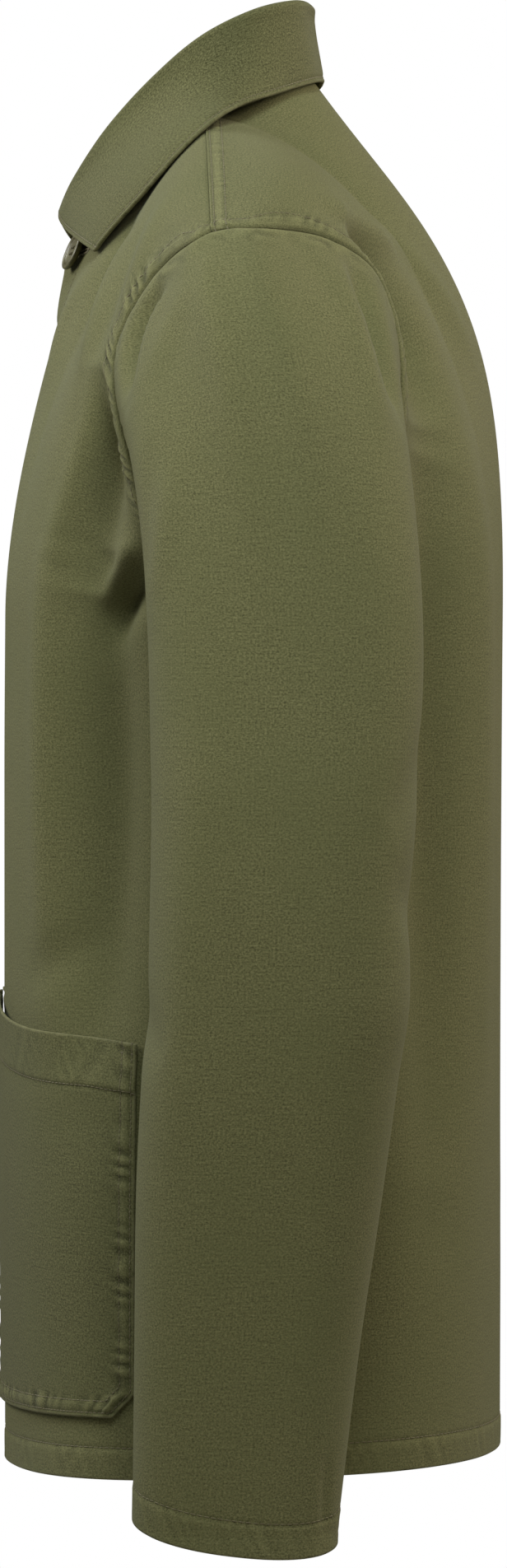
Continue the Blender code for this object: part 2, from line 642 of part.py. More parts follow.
def collar_half(side):
    """The outer grid of one half, from the stand's foot over the roll line to the outer edge."""
    flip = np.array([side, 1, 1])
    roll = table_curve(ROLL, COLLAR_STEPS) * flip
    edge = table_curve(FALL, COLLAR_STEPS) * flip
    neck_u = side * np.concatenate([FRONT_NECK, BACK_NECK])
    neckline = body(neck_u, np.full_like(neck_u, 2.0))
    at = np.append(COLLAR_START, np.arange(1, COLLAR_STEPS + 1) / 2)
    foot = np.stack([np.interp(at, np.arange(len(neckline)), column) for column in neckline.T], axis=1)
    along = np.gradient(roll, axis=0)
    along[-1] = (-side, 0, 0)
    outwards = unit(np.cross(along, UP)) * side
    centre = roll - UP * ROLL_RADIUS
    foot = foot + UP * STAND_GAP - outwards * COLLAR_CLOTH
    turned_in = centre - outwards * ROLL_RADIUS
    stand = [foot + (turned_in - foot) * k / STAND_STEPS for k in range(STAND_STEPS)]
    angles = np.linspace(math.pi, 0, ROLL_STEPS + 1)
    over = [centre + ROLL_RADIUS * (outwards * math.cos(a) + UP * math.sin(a)) for a in angles]
    drop = np.linalg.norm(edge - over[-1], axis=1, keepdims=True)
    bulge = FALL_BULGE * np.linspace(1, 0, COLLAR_STEPS + 1)[:, None]
    leave = over[-1] - UP * drop * FALL_LEAVE
    arrive = edge + (over[-1] - edge) * FALL_ARRIVE + outwards * bulge
    t = np.linspace(0, 1, FALL_STEPS + 1)[1:]
    fall = [bezier(over[-1], leave, arrive, edge, np.full(len(edge), k)) for k in t]
    return np.stack(stand + over + fall)


def collar():
    points = np.concatenate([collar_half(1), collar_half(-1)[:, -2::-1]], axis=1)
    return wall(points, grid_normals(points, False), COLLAR_CLOTH)


# ---------------------------------------------------------------- pockets
POCKET_MOUTH = {"share": (0, 0.35, 0.7, 1), "z": (-0.438, -0.449, -0.456, -0.461)}
POCKET_BOTTOM = -0.640
POCKET_CUT = 0.012         # the cut off each lower corner, both ways
POCKET_REST = 0.0015       # between the pocket and the front under it
POCKET_GAPE = 0.0022       # how far the mouth stands out from that
POCKET_ROWS = 6


def height_to_b(z):
    return (z - HEM_FRONT) / (SIDE[2] - HEM_FRONT)


def pocket(side):
    inner, outer = POCKET_U
    columns = stepped((inner, NECK_U, outer), FRONT_COUNTS[1:3])
    share = (columns - inner) / (outer - inner)
    mouth = through(share, POCKET_MOUTH["share"], POCKET_MOUTH["z"])
    cut_start = 1 - POCKET_CUT / (mouth.mean() - POCKET_BOTTOM)
    down = np.append(np.linspace(0, cut_start, POCKET_ROWS), 1)[:, None]
    z = mouth + (POCKET_BOTTOM - mouth) * down
    cut = 0.5 * POCKET_CUT / FRONT_ARC / (outer - inner)
    narrowed = np.where(down > cut_start, cut + (1 - 2 * cut) * share, share)
    u = side * (inner + (outer - inner) * narrowed)
    points = folded_body(u, height_to_b(z))
    out = grid_normals(points, False) * side
    gape = POCKET_GAPE * np.sin(math.pi * share) * (1 - down) ** 2
    points = points + out * (POCKET_REST + CLOTH + gape)[..., None]
    return wall(points, out, CLOTH, side)


# ---------------------------------------------------------------- buttons
BUTTON_RADIUS, BUTTON_THICK = 0.0102, 0.0032
BUTTON_RIM, BUTTON_DISH = 0.0022, 0.0007
BUTTON_EDGE = 0.0006
HOLE_RADIUS, HOLE_FROM_MIDDLE = 0.0010, 0.0024
BUTTON_SIDES, HOLE_SIDES = 16, 5
BUTTON_HEIGHTS = (-0.0666, -0.197, -0.327, -0.457, -0.587)
BUTTON_REST = 0.0014
TOP_BUTTON_TURN = math.radians(17)   # the top button faces the wearer's left
TOP_BUTTON_LEAN = 0.40     # and up


def turned(profile, sides):
    """Vertices and faces of a profile of (radius, height), from one end on the axis to the other."""
    angles = 2 * math.pi * np.arange(sides) / sides
    rings = [np.stack([r * np.cos(angles), r * np.sin(angles), 0 * angles + h], 1) for r, h in profile[1:-1]]
    vertices = np.vstack([[(0, 0, profile[0][1])]] + rings + [[(0, 0, profile[-1][1])]])
    last = len(vertices) - 1
    faces = []
    for j in range(sides):
        k = (j + 1) % sides
        faces.append([0, 1 + k, 1 + j])
        faces.append([last, last - sides + j, last - sides + k])
        for ring in range(len(rings) - 1):
            a, b = 1 + ring * sides, 1 + (ring + 1) * sides
            faces.append([a + j, a + k, b + k, b + j])
    return vertices, faces


def button(name, height, finish):
    """A four-hole button, its back on the left front and its face forward."""
    r, t = BUTTON_RADIUS, BUTTON_THICK
    profile = [
        (0, 0), (r - 2 * BUTTON_EDGE, 0), (r, 2 * BUTTON_EDGE), (r, t - BUTTON_EDGE), (r - BUTTON_EDGE, t),
        (r - BUTTON_RIM, t), (r - BUTTON_RIM - BUTTON_DISH, t - BUTTON_DISH), (0, t - BUTTON_DISH),
    ]
    made = add(name, *turned(profile, BUTTON_SIDES), finish)
    drill = [(0, -t), (HOLE_RADIUS, -t), (HOLE_RADIUS, 2 * t), (0, 2 * t)]
    for quarter in range(4):
        angle = math.radians(45 + 90 * quarter)
        vertices, faces = turned(drill, HOLE_SIDES)
        vertices = vertices + HOLE_FROM_MIDDLE * np.array([math.cos(angle), math.sin(angle), 0])
        cutter = add(f"{name}_hole_{quarter}", vertices, faces, finish)
        cutter.hide_render = True
        cutter.display_type = "WIRE"
        cutter.parent = made
        cut = made.modifiers.new(f"hole_{quarter}", "BOOLEAN")
        cut.operation, cut.solver, cut.object = "DIFFERENCE", "EXACT", cutter
    at_b = np.interp(height, *[line[::-1] for line in centre_line()])
    place = body(np.zeros(1), np.array([at_b]))[0]
    out = body_normal(np.zeros(1), np.array([at_b]))[0]
    if height == BUTTON_HEIGHTS[0]:
        out = np.array([math.sin(TOP_BUTTON_TURN), -math.cos(TOP_BUTTON_TURN), TOP_BUTTON_LEAN])
    out = Vector(unit(out))
    made.rotation_mode = "QUATERNION"
    made.rotation_quaternion = out.to_track_quat("Z", "Y")
    made.location = Vector(place) + out * BUTTON_REST
    return made


def centre_line():
    """Heights down the centre front, and their b."""
    b = np.linspace(2, 0, 400)
    return body(np.zeros(400), b)[:, 2], b


# ---------------------------------------------------------------- the jacket
OLIVE = (0.115, 0.110, 0.060)
OLIVE_BUTTON = (0.150, 0.145, 0.085)


def main():
    for old in list(bpy.data.objects):
        bpy.data.objects.remove(old)
    cloth = material("cotton canvas", OLIVE, 0.85)
    plastic = material("button plastic", OLIVE_BUTTON, 0.45)
    add("back", *back_panel(), cloth)
    for side, name in ((1, "left"), (-1, "right")):
        add(f"front_{name}", *front_panel(side), cloth)
        add(f"sleeve_{name}", *sleeve_wall(side), cloth)
        add(f"pocket_{name}", *pocket(side), cloth)
    add("collar", *collar(), cloth)
    for number, height in enumerate(BUTTON_HEIGHTS, 1):
        button(f"button_{number}", height, plastic)


main()
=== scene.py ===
"""A chore jacket in olive cotton canvas, hollow and filled out as it is worn.

Metres, +Z up, the wearer's left at +X, front at -Y. Each panel is a fine shell of cloth on the same
surfaces as its solid, with its folds, seam bands, hems and puckers. The stitches come from a small
node tree, and the buttonholes and the thread in the buttons are plain tubes.
"""

import math

import bpy
import numpy as np
from mathutils import Euler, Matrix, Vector


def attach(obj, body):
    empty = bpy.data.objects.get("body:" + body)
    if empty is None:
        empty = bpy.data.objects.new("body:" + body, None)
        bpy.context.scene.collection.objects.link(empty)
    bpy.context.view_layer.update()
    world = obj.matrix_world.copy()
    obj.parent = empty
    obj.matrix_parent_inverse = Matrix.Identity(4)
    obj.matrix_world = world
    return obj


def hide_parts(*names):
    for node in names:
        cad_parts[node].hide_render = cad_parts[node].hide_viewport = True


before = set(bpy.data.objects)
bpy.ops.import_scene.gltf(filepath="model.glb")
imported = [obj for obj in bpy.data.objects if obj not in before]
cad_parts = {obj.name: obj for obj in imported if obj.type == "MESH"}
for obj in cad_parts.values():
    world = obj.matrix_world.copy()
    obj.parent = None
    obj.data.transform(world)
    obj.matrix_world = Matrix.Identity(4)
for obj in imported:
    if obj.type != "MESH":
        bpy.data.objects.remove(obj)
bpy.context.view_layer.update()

# ---------------- the cut, as in the solids
CLOTH = 0.0015             # wall of one panel
COLLAR_CLOTH = 0.0022      # two plies and the stiffening between them
SEAM_GAP = 0.0006          # between pieces that are sewn together
LAP = 0.020                # how far the left front passes the middle, over the right one

SHOULDER = (0.228, 0.000, -0.0712)  # end of the shoulder seam, on the armhole
NECK = (0.075, -0.004, -0.003)      # where the shoulder seam meets the neckline
NECK_FRONT = (-0.0580, -0.0580)     # y, z of the neckline at the centre front
NECK_BACK = (0.0480, 0.0240)        # y, z of the neckline at the centre back
SIDE = (0.213, 0.017, -0.252)       # top of the side seam, under the arm
HEM_FRONT, HEM_BACK = -0.670, -0.665
ROUND_FRONT, ROUND_BACK = 2.75, 2.55   # superellipse powers of the two halves

# The body below the arms: a row for each height.
BODY = {
    "z": (-0.670, -0.560, -0.430, -0.330, -0.252),
    "half": (0.2120, 0.2085, 0.2060, 0.2085, 0.2130),
    "front": (-0.1050, -0.1052, -0.1054, -0.1054, -0.1050),
    "back": (0.1444, 0.1448, 0.1455, 0.1460, 0.1463),
}

# The body above the underarm: a row for each upright line, from the middle (0) to the side (1).
# lift is how far a line runs straight up from the underarm level, and x, y, z is the way that it
# leaves its top edge.
FRONT_LINES = {
    "at": (0, 1 / 3, 2 / 3, 1),
    "lift": (0.074, 0.082, 0.095, 0.090),
    "x": (0.000, 0.016, 0.022, 0.006),
    "y": (-0.0250, -0.036, -0.044, -0.040),
    "z": (-0.0390, -0.040, -0.024, -0.014),
}
BACK_LINES = {
    "at": (0, 1 / 3, 2 / 3, 1),
    "lift": (0.153, 0.140, 0.126, 0.110),
    "x": (0.000, 0.022, 0.036, 0.014),
    "y": (0.0865, 0.073, 0.078, 0.062),
    "z": (-0.124, -0.010, 0.012, 0.016),
}

# The armhole seam as the side view has it, from the shoulder seam down to the side seam.
ARMHOLE_FRONT = {
    "y": (0.0000, -0.0226, -0.0402, -0.0461, -0.0461, -0.0380, -0.0240, -0.0045, 0.0170),
    "z": (-0.0712, -0.0854, -0.1101, -0.1263, -0.1488, -0.1792, -0.2110, -0.2390, -0.2520),
}
ARMHOLE_BACK = {
    "y": (0.0000, 0.0274, 0.0545, 0.0768, 0.0865, 0.0912, 0.0898, 0.0750, 0.0475, 0.0170),
    "z": (-0.0712, -0.0693, -0.0722, -0.0843, -0.1028, -0.1300, -0.1560, -0.2085, -0.2410, -0.2520),
}

# The sleeve below the armhole: a row for each height.
SLEEVE = {
    "z": (-0.300, -0.346, -0.398, -0.433, -0.474, -0.537, -0.601, -0.6872),
    "front": (-0.0286, -0.0278, -0.0286, -0.0296, -0.0325, -0.0353, -0.0360, -0.0370),
    "back": (0.0997, 0.0972, 0.0941, 0.0940, 0.0885, 0.0799, 0.0704, 0.0600),
    "inner": (0.2230, 0.2235, 0.2225, 0.2220, 0.2215, 0.2205, 0.2200, 0.2195),
    "outer": (0.3200, 0.3260, 0.3280, 0.3270, 0.3240, 0.3160, 0.3070, 0.2960),
}
SLEEVE_ROUND = 2.2
CUFF_DROP_OUT = 0.244      # the cuff's slope down towards its outer side
CUFF_DROP_BACK = 0.112     # and down towards the back

# How the sleeve leaves the armhole: a row for each direction round it, from the underarm (0) over
# the front (0.25), the shoulder (0.5) and the back (0.75). x, y, z is its pull at the seam, and
# rise its pull above the first ring.
CAP = {
    "turn": (0, 0.125, 0.25, 0.375, 0.5, 0.625, 0.75, 0.875, 1),
    "x": (0.010, 0.025, 0.050, 0.064, 0.064, 0.064, 0.050, 0.025, 0.010),
    "y": (0.000, 0.004, 0.008, -0.002, 0.004, 0.002, -0.004, 0.000, 0.000),
    "z": (-0.020, -0.020, -0.020, -0.030, -0.040, -0.030, -0.030, -0.020, -0.020),
    "rise": (0.020, 0.040, 0.080, 0.120, 0.130, 0.120, 0.080, 0.040, 0.020),
}


# ---------------- curves
def through(x, keys, values):
    """A smooth line through the rows of a table, with no overshoot."""
    order = np.argsort(keys)
    keys, values = np.asarray(keys, float)[order], np.asarray(values, float)[order]
    x = np.clip(x, keys[0], keys[-1])
    step = np.diff(keys)
    slope = np.diff(values) / step
    before, after = slope[:-1], slope[1:]
    one_way = before * after > 0
    middle = np.where(one_way, 2 * before * after / np.where(one_way, before + after, 1), 0)
    slopes = np.concatenate([[slope[0]], middle, [slope[-1]]])
    i = np.clip(np.searchsorted(keys, x, side="right") - 1, 0, len(step) - 1)
    t = (x - keys[i]) / step[i]
    rise = t * t * (3 - 2 * t)
    bend = step[i] * t * (1 - t) * ((1 - t) * slopes[i] - t * slopes[i + 1])
    return values[i] * (1 - rise) + values[i + 1] * rise + bend


def row(table, key, x):
    """Every other column of a table at x of its key column."""
    return {name: through(x, table[key], table[name]) for name in table if name != key}


def round_curve(points, count):
    """count + 1 points at equal steps along a round curve through the points."""
    points = np.asarray(points, float)
    gaps = np.linalg.norm(np.diff(points, axis=0), axis=1) ** 0.5
    chord = np.diff(points, axis=0) / gaps[:, None]
    share = (gaps[:-1] / (gaps[:-1] + gaps[1:]))[:, None]
    inner = chord[:-1] * (1 - share) + chord[1:] * share
    slopes = np.vstack([1.5 * chord[0] - 0.5 * inner[0], inner, 1.5 * chord[-1] - 0.5 * inner[-1]])
    t = np.linspace(0, 1, 40)[:, None]
    pieces = [
        points[i] * (1 + 2 * t) * (1 - t) ** 2
        + points[i + 1] * t * t * (3 - 2 * t)
        + gaps[i] * t * (1 - t) * (slopes[i] * (1 - t) - slopes[i + 1] * t)
        for i in range(len(gaps))
    ]
    return evenly(np.vstack([piece[:-1] for piece in pieces] + [points[-1:]]), count)


def way_along(points, axis=0):
    """How far each point lies along its line, or along its column (0) or row (1) of a grid."""
    steps = np.linalg.norm(np.diff(points, axis=axis), axis=-1)
    return np.insert(np.cumsum(steps, axis=axis), 0, 0, axis=axis)


def evenly(points, count):
    """count + 1 points at equal steps along a line of points."""
    along = way_along(points)
    at = np.linspace(0, along[-1], count + 1)
    return np.stack([np.interp(at, along, column) for column in points.T], axis=1)


def unit(vectors):
    return vectors / np.linalg.norm(vectors, axis=-1, keepdims=True)


def smooth_step(x):
    x = np.clip(x, 0, 1)
    return x * x * (3 - 2 * x)


def bezier(p0, p1, p2, p3, t):
    t = np.asarray(t)[..., None]
    return p0 * (1 - t) ** 3 + 3 * p1 * t * (1 - t) ** 2 + 3 * p2 * t * t * (1 - t) + p3 * t**3


# ---------------- the body's surface
def quarter_outline(power):
    """A quarter of a superellipse, (across, along) from 0 to 1, at equal steps from middle to side."""
    angle = np.linspace(0, math.pi / 2, 600)
    half, depth = SIDE[0], (BODY["back"][-1] - BODY["front"][-1]) / 2
    points = np.stack([half * np.sin(angle) ** (2 / power), depth * np.cos(angle) ** (2 / power)], 1)
    return evenly(points, 400) / (half, depth)


QUARTERS = (quarter_outline(ROUND_FRONT), quarter_outline(ROUND_BACK))


def to_quarter(u):
    """u runs round the body: 0 centre front, 0.5 left side, 1 centre back, negative on the right.
    This gives the share of the way from the middle to the side, whether at the back, and the side."""
    u = (np.asarray(u, float) + 1) % 2 - 1
    a = np.abs(u)
    back = a > 0.5
    return 2 * np.where(back, 1 - a, a), back, np.where(u < 0, -1.0, 1.0)


def outline(share, back, z):
    """A point of the left half of the body's level outline at height z."""
    size = row(BODY, "z", z)
    steps = np.linspace(0, 1, len(QUARTERS[0]))
    front_xy, back_xy = ([np.interp(share, steps, column) for column in q.T] for q in QUARTERS)
    across = np.where(back, back_xy[0], front_xy[0])
    along = np.where(back, back_xy[1], front_xy[1])
    y = SIDE[1] + along * (np.where(back, size["back"], size["front"]) - SIDE[1])
    return np.stack([across * size["half"], y, z], axis=-1)


NECK_SHARE = 1 / 3         # the part of the top edge that is neckline, the rest being shoulder seam
SHOULDER_RISE = 0.004      # how much the shoulder seam arches
NECK_DROP = (0.95, 1.8)    # how the neckline drops from front and back to the sides, as powers


def top_edge(share, back):
    """The neckline and then the shoulder seam."""
    turn = np.clip(share / NECK_SHARE, 0, 1) * math.pi / 2
    y, z = (np.where(back, b, f) for f, b in zip(NECK_FRONT, NECK_BACK))
    neck_y = NECK[1] + (y - NECK[1]) * np.cos(turn)
    neck_z = NECK[2] + (z - NECK[2]) * np.cos(turn) ** np.where(back, NECK_DROP[1], NECK_DROP[0])
    neck = np.stack([NECK[0] * np.sin(turn), neck_y, neck_z], axis=-1)
    t = np.clip((share - NECK_SHARE) / (1 - NECK_SHARE), 0, 1)[..., None]
    seam = np.asarray(NECK) * (1 - t) + np.asarray(SHOULDER) * t
    seam[..., 2] += SHOULDER_RISE * np.sin(math.pi * t[..., 0])
    return np.where((share < NECK_SHARE)[..., None], neck, seam)


# The closing: the middle of the front lies a little back, and near the neck its free edge stands out.
CLOSING = {
    "z": (-0.300, -0.180, -0.110, -0.0967, -0.0758, -0.0696, -0.0633, -0.0580),
    "hollow": (0.0050, 0.0075, 0.0025, 0.0012, 0.0000, 0.0000, 0.0000, 0.0000),
    "flare": (0.0000, 0.0000, 0.0000, 0.0040, 0.0090, 0.0116, 0.0142, 0.0155),
}
HOLLOW_WIDE = 0.055        # u over which the hollow fades
FLARE = {"u": (-0.085, -0.045, -0.036, 0.018), "share": (0, 0.9, 1, 0)}


def closing(u, z):
    """How far the closing's cloth lies forward."""
    size = row(CLOSING, "z", z)
    hollow = size["hollow"] * np.exp(-((u / HOLLOW_WIDE) ** 2))
    return size["flare"] * through(u, FLARE["u"], FLARE["share"]) - hollow


LEAVE_STEP = 0.01          # the drop over which the way that a ring leaves its level is taken


def body(u, b):
    """A point of the body: b is 0 at the hem, 1 at the underarm and 2 at neckline and shoulder seam."""
    share, back, side = to_quarter(u)
    level = np.full_like(share, SIDE[2])
    around = np.where(back, 1 - share / 2, share / 2)
    hem = HEM_FRONT + (HEM_BACK - HEM_FRONT) * smooth_step(2 * around - 0.5)
    low = outline(share, back, hem + (level - hem) * np.clip(b, 0, 1))
    rim, below = outline(share, back, level), outline(share, back, level - LEAVE_STEP)
    front_pull, back_pull = row(FRONT_LINES, "at", share), row(BACK_LINES, "at", share)
    pull = {name: np.where(back, back_pull[name], front_pull[name]) for name in front_pull}
    top = top_edge(share, back)
    first = rim + unit(rim - below) * pull["lift"][..., None]
    second = top + np.stack([pull["x"], pull["y"], pull["z"]], axis=-1)
    high = bezier(rim, first, second, top, np.clip(b - 1, 0, 1))
    point = np.where((np.asarray(b) > 1)[..., None], high, low)
    point[..., 0] *= side
    point[..., 1] -= closing((np.asarray(u, float) + 1) % 2 - 1, point[..., 2])
    return point


SEARCH_STEP = 1e-5
SEARCH_ROUNDS = 40
SEARCH_SHARE = 0.7         # of each step that the search takes
MOST_U, MOST_B = 0.03, 0.1   # its longest steps
B_FROM, B_TO = 1.0001, 1.9999


def find_on_body(y, z, u, back):
    """The (u, b) of the points of the left side that the side view has at y, z. u is a first guess."""
    u, b = np.array(u, float), np.full(len(y), 1.5)
    target = np.stack([y, z], axis=-1)
    du = SEARCH_STEP if back else -SEARCH_STEP
    for _ in range(SEARCH_ROUNDS):
        here = body(u, b)[..., 1:]
        by_u = (body(u + du, b)[..., 1:] - here) / du
        by_b = (here - body(u, b - SEARCH_STEP)[..., 1:]) / SEARCH_STEP
        miss = target - here
        turn = by_u[:, 0] * by_b[:, 1] - by_u[:, 1] * by_b[:, 0]
        move_u = (miss[:, 0] * by_b[:, 1] - miss[:, 1] * by_b[:, 0]) / turn
        move_b = (by_u[:, 0] * miss[:, 1] - by_u[:, 1] * miss[:, 0]) / turn
        u = u + SEARCH_SHARE * np.clip(move_u, -MOST_U, MOST_U)
        u = np.maximum(u, 0.5 + SEARCH_STEP) if back else np.minimum(u, 0.5)
        b = np.clip(b + SEARCH_SHARE * np.clip(move_b, -MOST_B, MOST_B), B_FROM, B_TO)
    return u, b


# ---------------- folds
# Each fold is a soft ridge or trough along a line over the surface, from one place by way of another
# to a third. A row gives u at the three places, b at the three, how far the fold spreads to each
# side, and how far it stands out (above 0) or sinks in (below 0).
BODY_FOLDS = {
    "armhole_ridge_left": ((0.330, 0.366, 0.346), (1.84, 1.63, 1.43), 0.0085, 0.0024),
    "armhole_ridge_right": ((-0.334, -0.362, -0.344), (1.82, 1.64, 1.46), 0.0090, 0.0021),
    "chest_ridge_left": ((0.240, 0.270, 0.294), (1.70, 1.57, 1.40), 0.0095, 0.0030),
    "chest_ridge_right": ((-0.250, -0.276, -0.290), (1.72, 1.58, 1.43), 0.0100, 0.0026),
    "collar_ridge_left": ((0.126, 0.088, 0.126), (1.69, 1.63, 1.43), 0.0120, 0.0026),
    "collar_ridge_right": ((-0.140, -0.112, -0.140), (1.67, 1.61, 1.47), 0.0115, 0.0020),
    "shoulder_hollow_left": ((0.288, 0.318, 0.316), (1.78, 1.60, 1.44), 0.0085, -0.0030),
    "shoulder_hollow_right": ((-0.294, -0.318, -0.318), (1.76, 1.61, 1.46), 0.0090, -0.0026),
    "throat_hollow_left": ((0.190, 0.180, 0.212), (1.72, 1.60, 1.42), 0.0130, -0.0030),
    "throat_hollow_right": ((-0.200, -0.190, -0.215), (1.70, 1.60, 1.45), 0.0130, -0.0026),
    "break_edge_left": ((0.324, 0.316, 0.282), (1.46, 1.27, 1.08), 0.0100, 0.0046),
    "break_edge_right": ((-0.326, -0.314, -0.286), (1.44, 1.25, 1.12), 0.0105, 0.0040),
    "front_fall_left": ((0.282, 0.276, 0.282), (1.14, 0.86, 0.56), 0.0130, 0.0046),
    "front_fall_right": ((-0.284, -0.280, -0.284), (1.16, 0.90, 0.62), 0.0130, 0.0042),
    "chest_hollow_left": ((0.356, 0.350, 0.334), (1.44, 1.26, 1.02), 0.0210, -0.0180),
    "chest_hollow_right": ((-0.356, -0.348, -0.336), (1.42, 1.24, 1.04), 0.0210, -0.0165),
    "side_hollow_left": ((0.356, 0.360, 0.358), (1.120, 0.800, 0.440), 0.0280, -0.0215),
    "side_hollow_right": ((-0.358, -0.358, -0.360), (1.100, 0.840, 0.600), 0.0270, -0.0195),
    "drag_left": ((0.405, 0.376, 0.340), (1.12, 1.072, 1.005), 0.0070, 0.0062),
    "drag_right": ((-0.400, -0.382, -0.352), (1.08, 1.05, 1.00), 0.0070, 0.0034),
    "drag_shade_left": ((0.418, 0.384, 0.350), (1.065, 1.025, 0.965), 0.0090, -0.0125),
    "drag_shade_right": ((-0.418, -0.402, -0.368), (1.03, 1.00, 0.95), 0.0095, -0.0050),
    "blade_shade_left": ((0.680, 0.716, 0.735), (1.60, 1.46, 1.33), 0.0130, -0.0085),
    "blade_shade_right": ((-0.684, -0.718, -0.732), (1.59, 1.47, 1.35), 0.0130, -0.0070),
    "drag_low_left": ((0.385, 0.340, 0.300), (1.07, 1.10, 1.13), 0.0055, -0.0014),
    "pocket_hollow_left": ((0.345, 0.300, 0.250), (0.635, 0.600, 0.580), 0.0110, -0.0022),
    "pocket_hollow_right": ((-0.340, -0.305, -0.265), (0.660, 0.630, 0.600), 0.0120, -0.0018),
    "blade_ridge_left": ((0.648, 0.722, 0.800), (1.71, 1.60, 1.545), 0.0100, 0.0050),
    "blade_ridge_right": ((-0.645, -0.716, -0.790), (1.70, 1.61, 1.550), 0.0105, 0.0036),
    "blade_fall_left": ((0.775, 0.850, 0.905), (1.58, 1.51, 1.34), 0.0130, 0.0032),
    "blade_fall_right": ((-0.770, -0.840, -0.885), (1.57, 1.49, 1.36), 0.0140, 0.0028),
    "blade_hollow_left": ((0.664, 0.716, 0.706), (1.62, 1.43, 1.20), 0.0260, -0.0170),
    "blade_hollow_right": ((-0.662, -0.712, -0.704), (1.61, 1.41, 1.22), 0.0250, -0.0155),
    "back_hollow_left": ((0.700, 0.690, 0.680), (1.260, 0.950, 0.300), 0.0280, -0.0160),
    "back_hollow_right": ((-0.698, -0.690, -0.676), (1.240, 0.900, 0.340), 0.0270, -0.0150),
    "back_fall_left": ((0.785, 0.792, 0.797), (1.25, 0.92, 0.40), 0.0160, 0.0026),
    "back_fall_right": ((-0.780, -0.790, -0.800), (1.22, 0.95, 0.46), 0.0160, 0.0024),
    "middle_hollow": ((0.905, 0.930, 0.920), (1.10, 0.75, 0.30), 0.0240, -0.0022),
    "middle_fall": ((-0.930, -0.905, -0.900), (1.15, 0.80, 0.35), 0.0220, 0.0018),
}
# The same for the left sleeve, with turn round it and down along it instead of u and b.
SLEEVE_FOLDS = {
    "back_dent": ((0.626, 0.641, 0.672), (0.014, 0.060, 0.096), 0.0085, -0.0120),
    "back_roll": ((0.604, 0.616, 0.630), (0.020, 0.072, 0.125), 0.0085, 0.0030),
    "front_dent": ((0.436, 0.385, 0.338), (0.020, 0.026, 0.064), 0.0075, -0.0120),
    "front_roll": ((0.470, 0.430, 0.384), (0.030, 0.056, 0.080), 0.0090, 0.0022),
    "cap_tuck_front": ((0.486, 0.476, 0.462), (0.004, 0.022, 0.050), 0.0045, -0.0014),
    "cap_tuck_back": ((0.565, 0.574, 0.590), (0.004, 0.024, 0.060), 0.0050, -0.0013),
    "arm_ridge": ((0.388, 0.350, 0.312), (0.130, 0.156, 0.180), 0.0090, 0.0018),
    "arm_hollow": ((0.372, 0.332, 0.300), (0.110, 0.140, 0.170), 0.0090, -0.0014),
    "long_ridge": ((0.400, 0.375, 0.370), (0.22, 0.45, 0.66), 0.0150, 0.0020),
    "elbow_front": ((0.210, 0.290, 0.360), (0.50, 0.525, 0.545), 0.0130, -0.0020),
    "elbow_back": ((0.770, 0.700, 0.640), (0.240, 0.290, 0.330), 0.0130, -0.0020),
    "elbow_back_low": ((0.790, 0.720, 0.650), (0.430, 0.400, 0.380), 0.0140, -0.0018),
    "inner_crease": ((0.100, 0.020, -0.060), (0.30, 0.34, 0.36), 0.0120, -0.0025),
    "cuff_crease": ((0.646, 0.654, 0.668), (0.900, 0.945, 0.992), 0.0035, -0.0014),
}
FOLD_STEPS = 16
FOLD_ENDS = 0.02           # how much of its length a fold's fade leaves out at each end
FOLD_FADE = 0.7            # the power of that fade


def fold_line(surface, across, along):
    """Points of a surface on the curve that starts, passes its middle and ends at the three places."""
    t = np.linspace(0, 1, FOLD_STEPS)
    weights = np.stack([(1 - t) * (1 - 2 * t), 4 * t * (1 - t), t * (2 * t - 1)])
    return surface(np.asarray(across) @ weights, np.asarray(along) @ weights)


def fold_height(points, line, wide, high):
    """How far a fold along the line moves each point out."""
    start, run = line[:-1], np.diff(line, axis=0)
    away = points[..., None, :] - start
    share = np.clip((away * run).sum(-1) / (run * run).sum(-1), 0, 1)
    gap = np.linalg.norm(away - share[..., None] * run, axis=-1)
    nearest = gap.argmin(-1)[..., None]
    at = (nearest + np.take_along_axis(share, nearest, -1))[..., 0] / (len(line) - 1)
    fade = np.sin(math.pi * np.clip(at, FOLD_ENDS, 1 - FOLD_ENDS)) ** FOLD_FADE
    return high * fade * np.exp(-((np.take_along_axis(gap, nearest, -1)[..., 0] / wide) ** 2))


def normals(surface, u, v, du, dv):
    """The outward normals of a surface, by steps du, dv that stay on it."""
    here = surface(u, v)
    along_u = (surface(u + du, v) - here) * np.sign(du)[..., None]
    along_v = (surface(u, v + dv) - here) * np.sign(dv)[..., None]
    return unit(np.cross(along_u, along_v))


def fold_lines(surface, folds):
    """The folds of a table, each as its line over the surface, its width and its height."""
    return [(fold_line(surface, across, along), wide, high) for across, along, wide, high in folds]


STEP = 1e-4
BODY_LINES = fold_lines(body, BODY_FOLDS.values())


def body_normal(u, b):
    """Outward normals of the body without folds. A step in u stays on its own side of a side seam."""
    u = np.asarray(u, float)
    wrapped = (u + 1) % 2 - 1
    inwards = np.where(np.abs(wrapped) > 0.5, np.sign(wrapped), -np.sign(wrapped))
    du = np.where(wrapped == 0, STEP, inwards * STEP)
    return normals(body, u, b, du, np.where(np.asarray(b) > 0.5, -STEP, STEP))


def folded_body(u, b):
    """The body with its folds, which fade out at hem and neckline."""
    points = body(u, b)
    height = sum(fold_height(points, *line) for line in BODY_LINES)
    return points + body_normal(u, b) * height[..., None]


# ---------------- the armhole and the sleeve
ARM_STEPS = 400


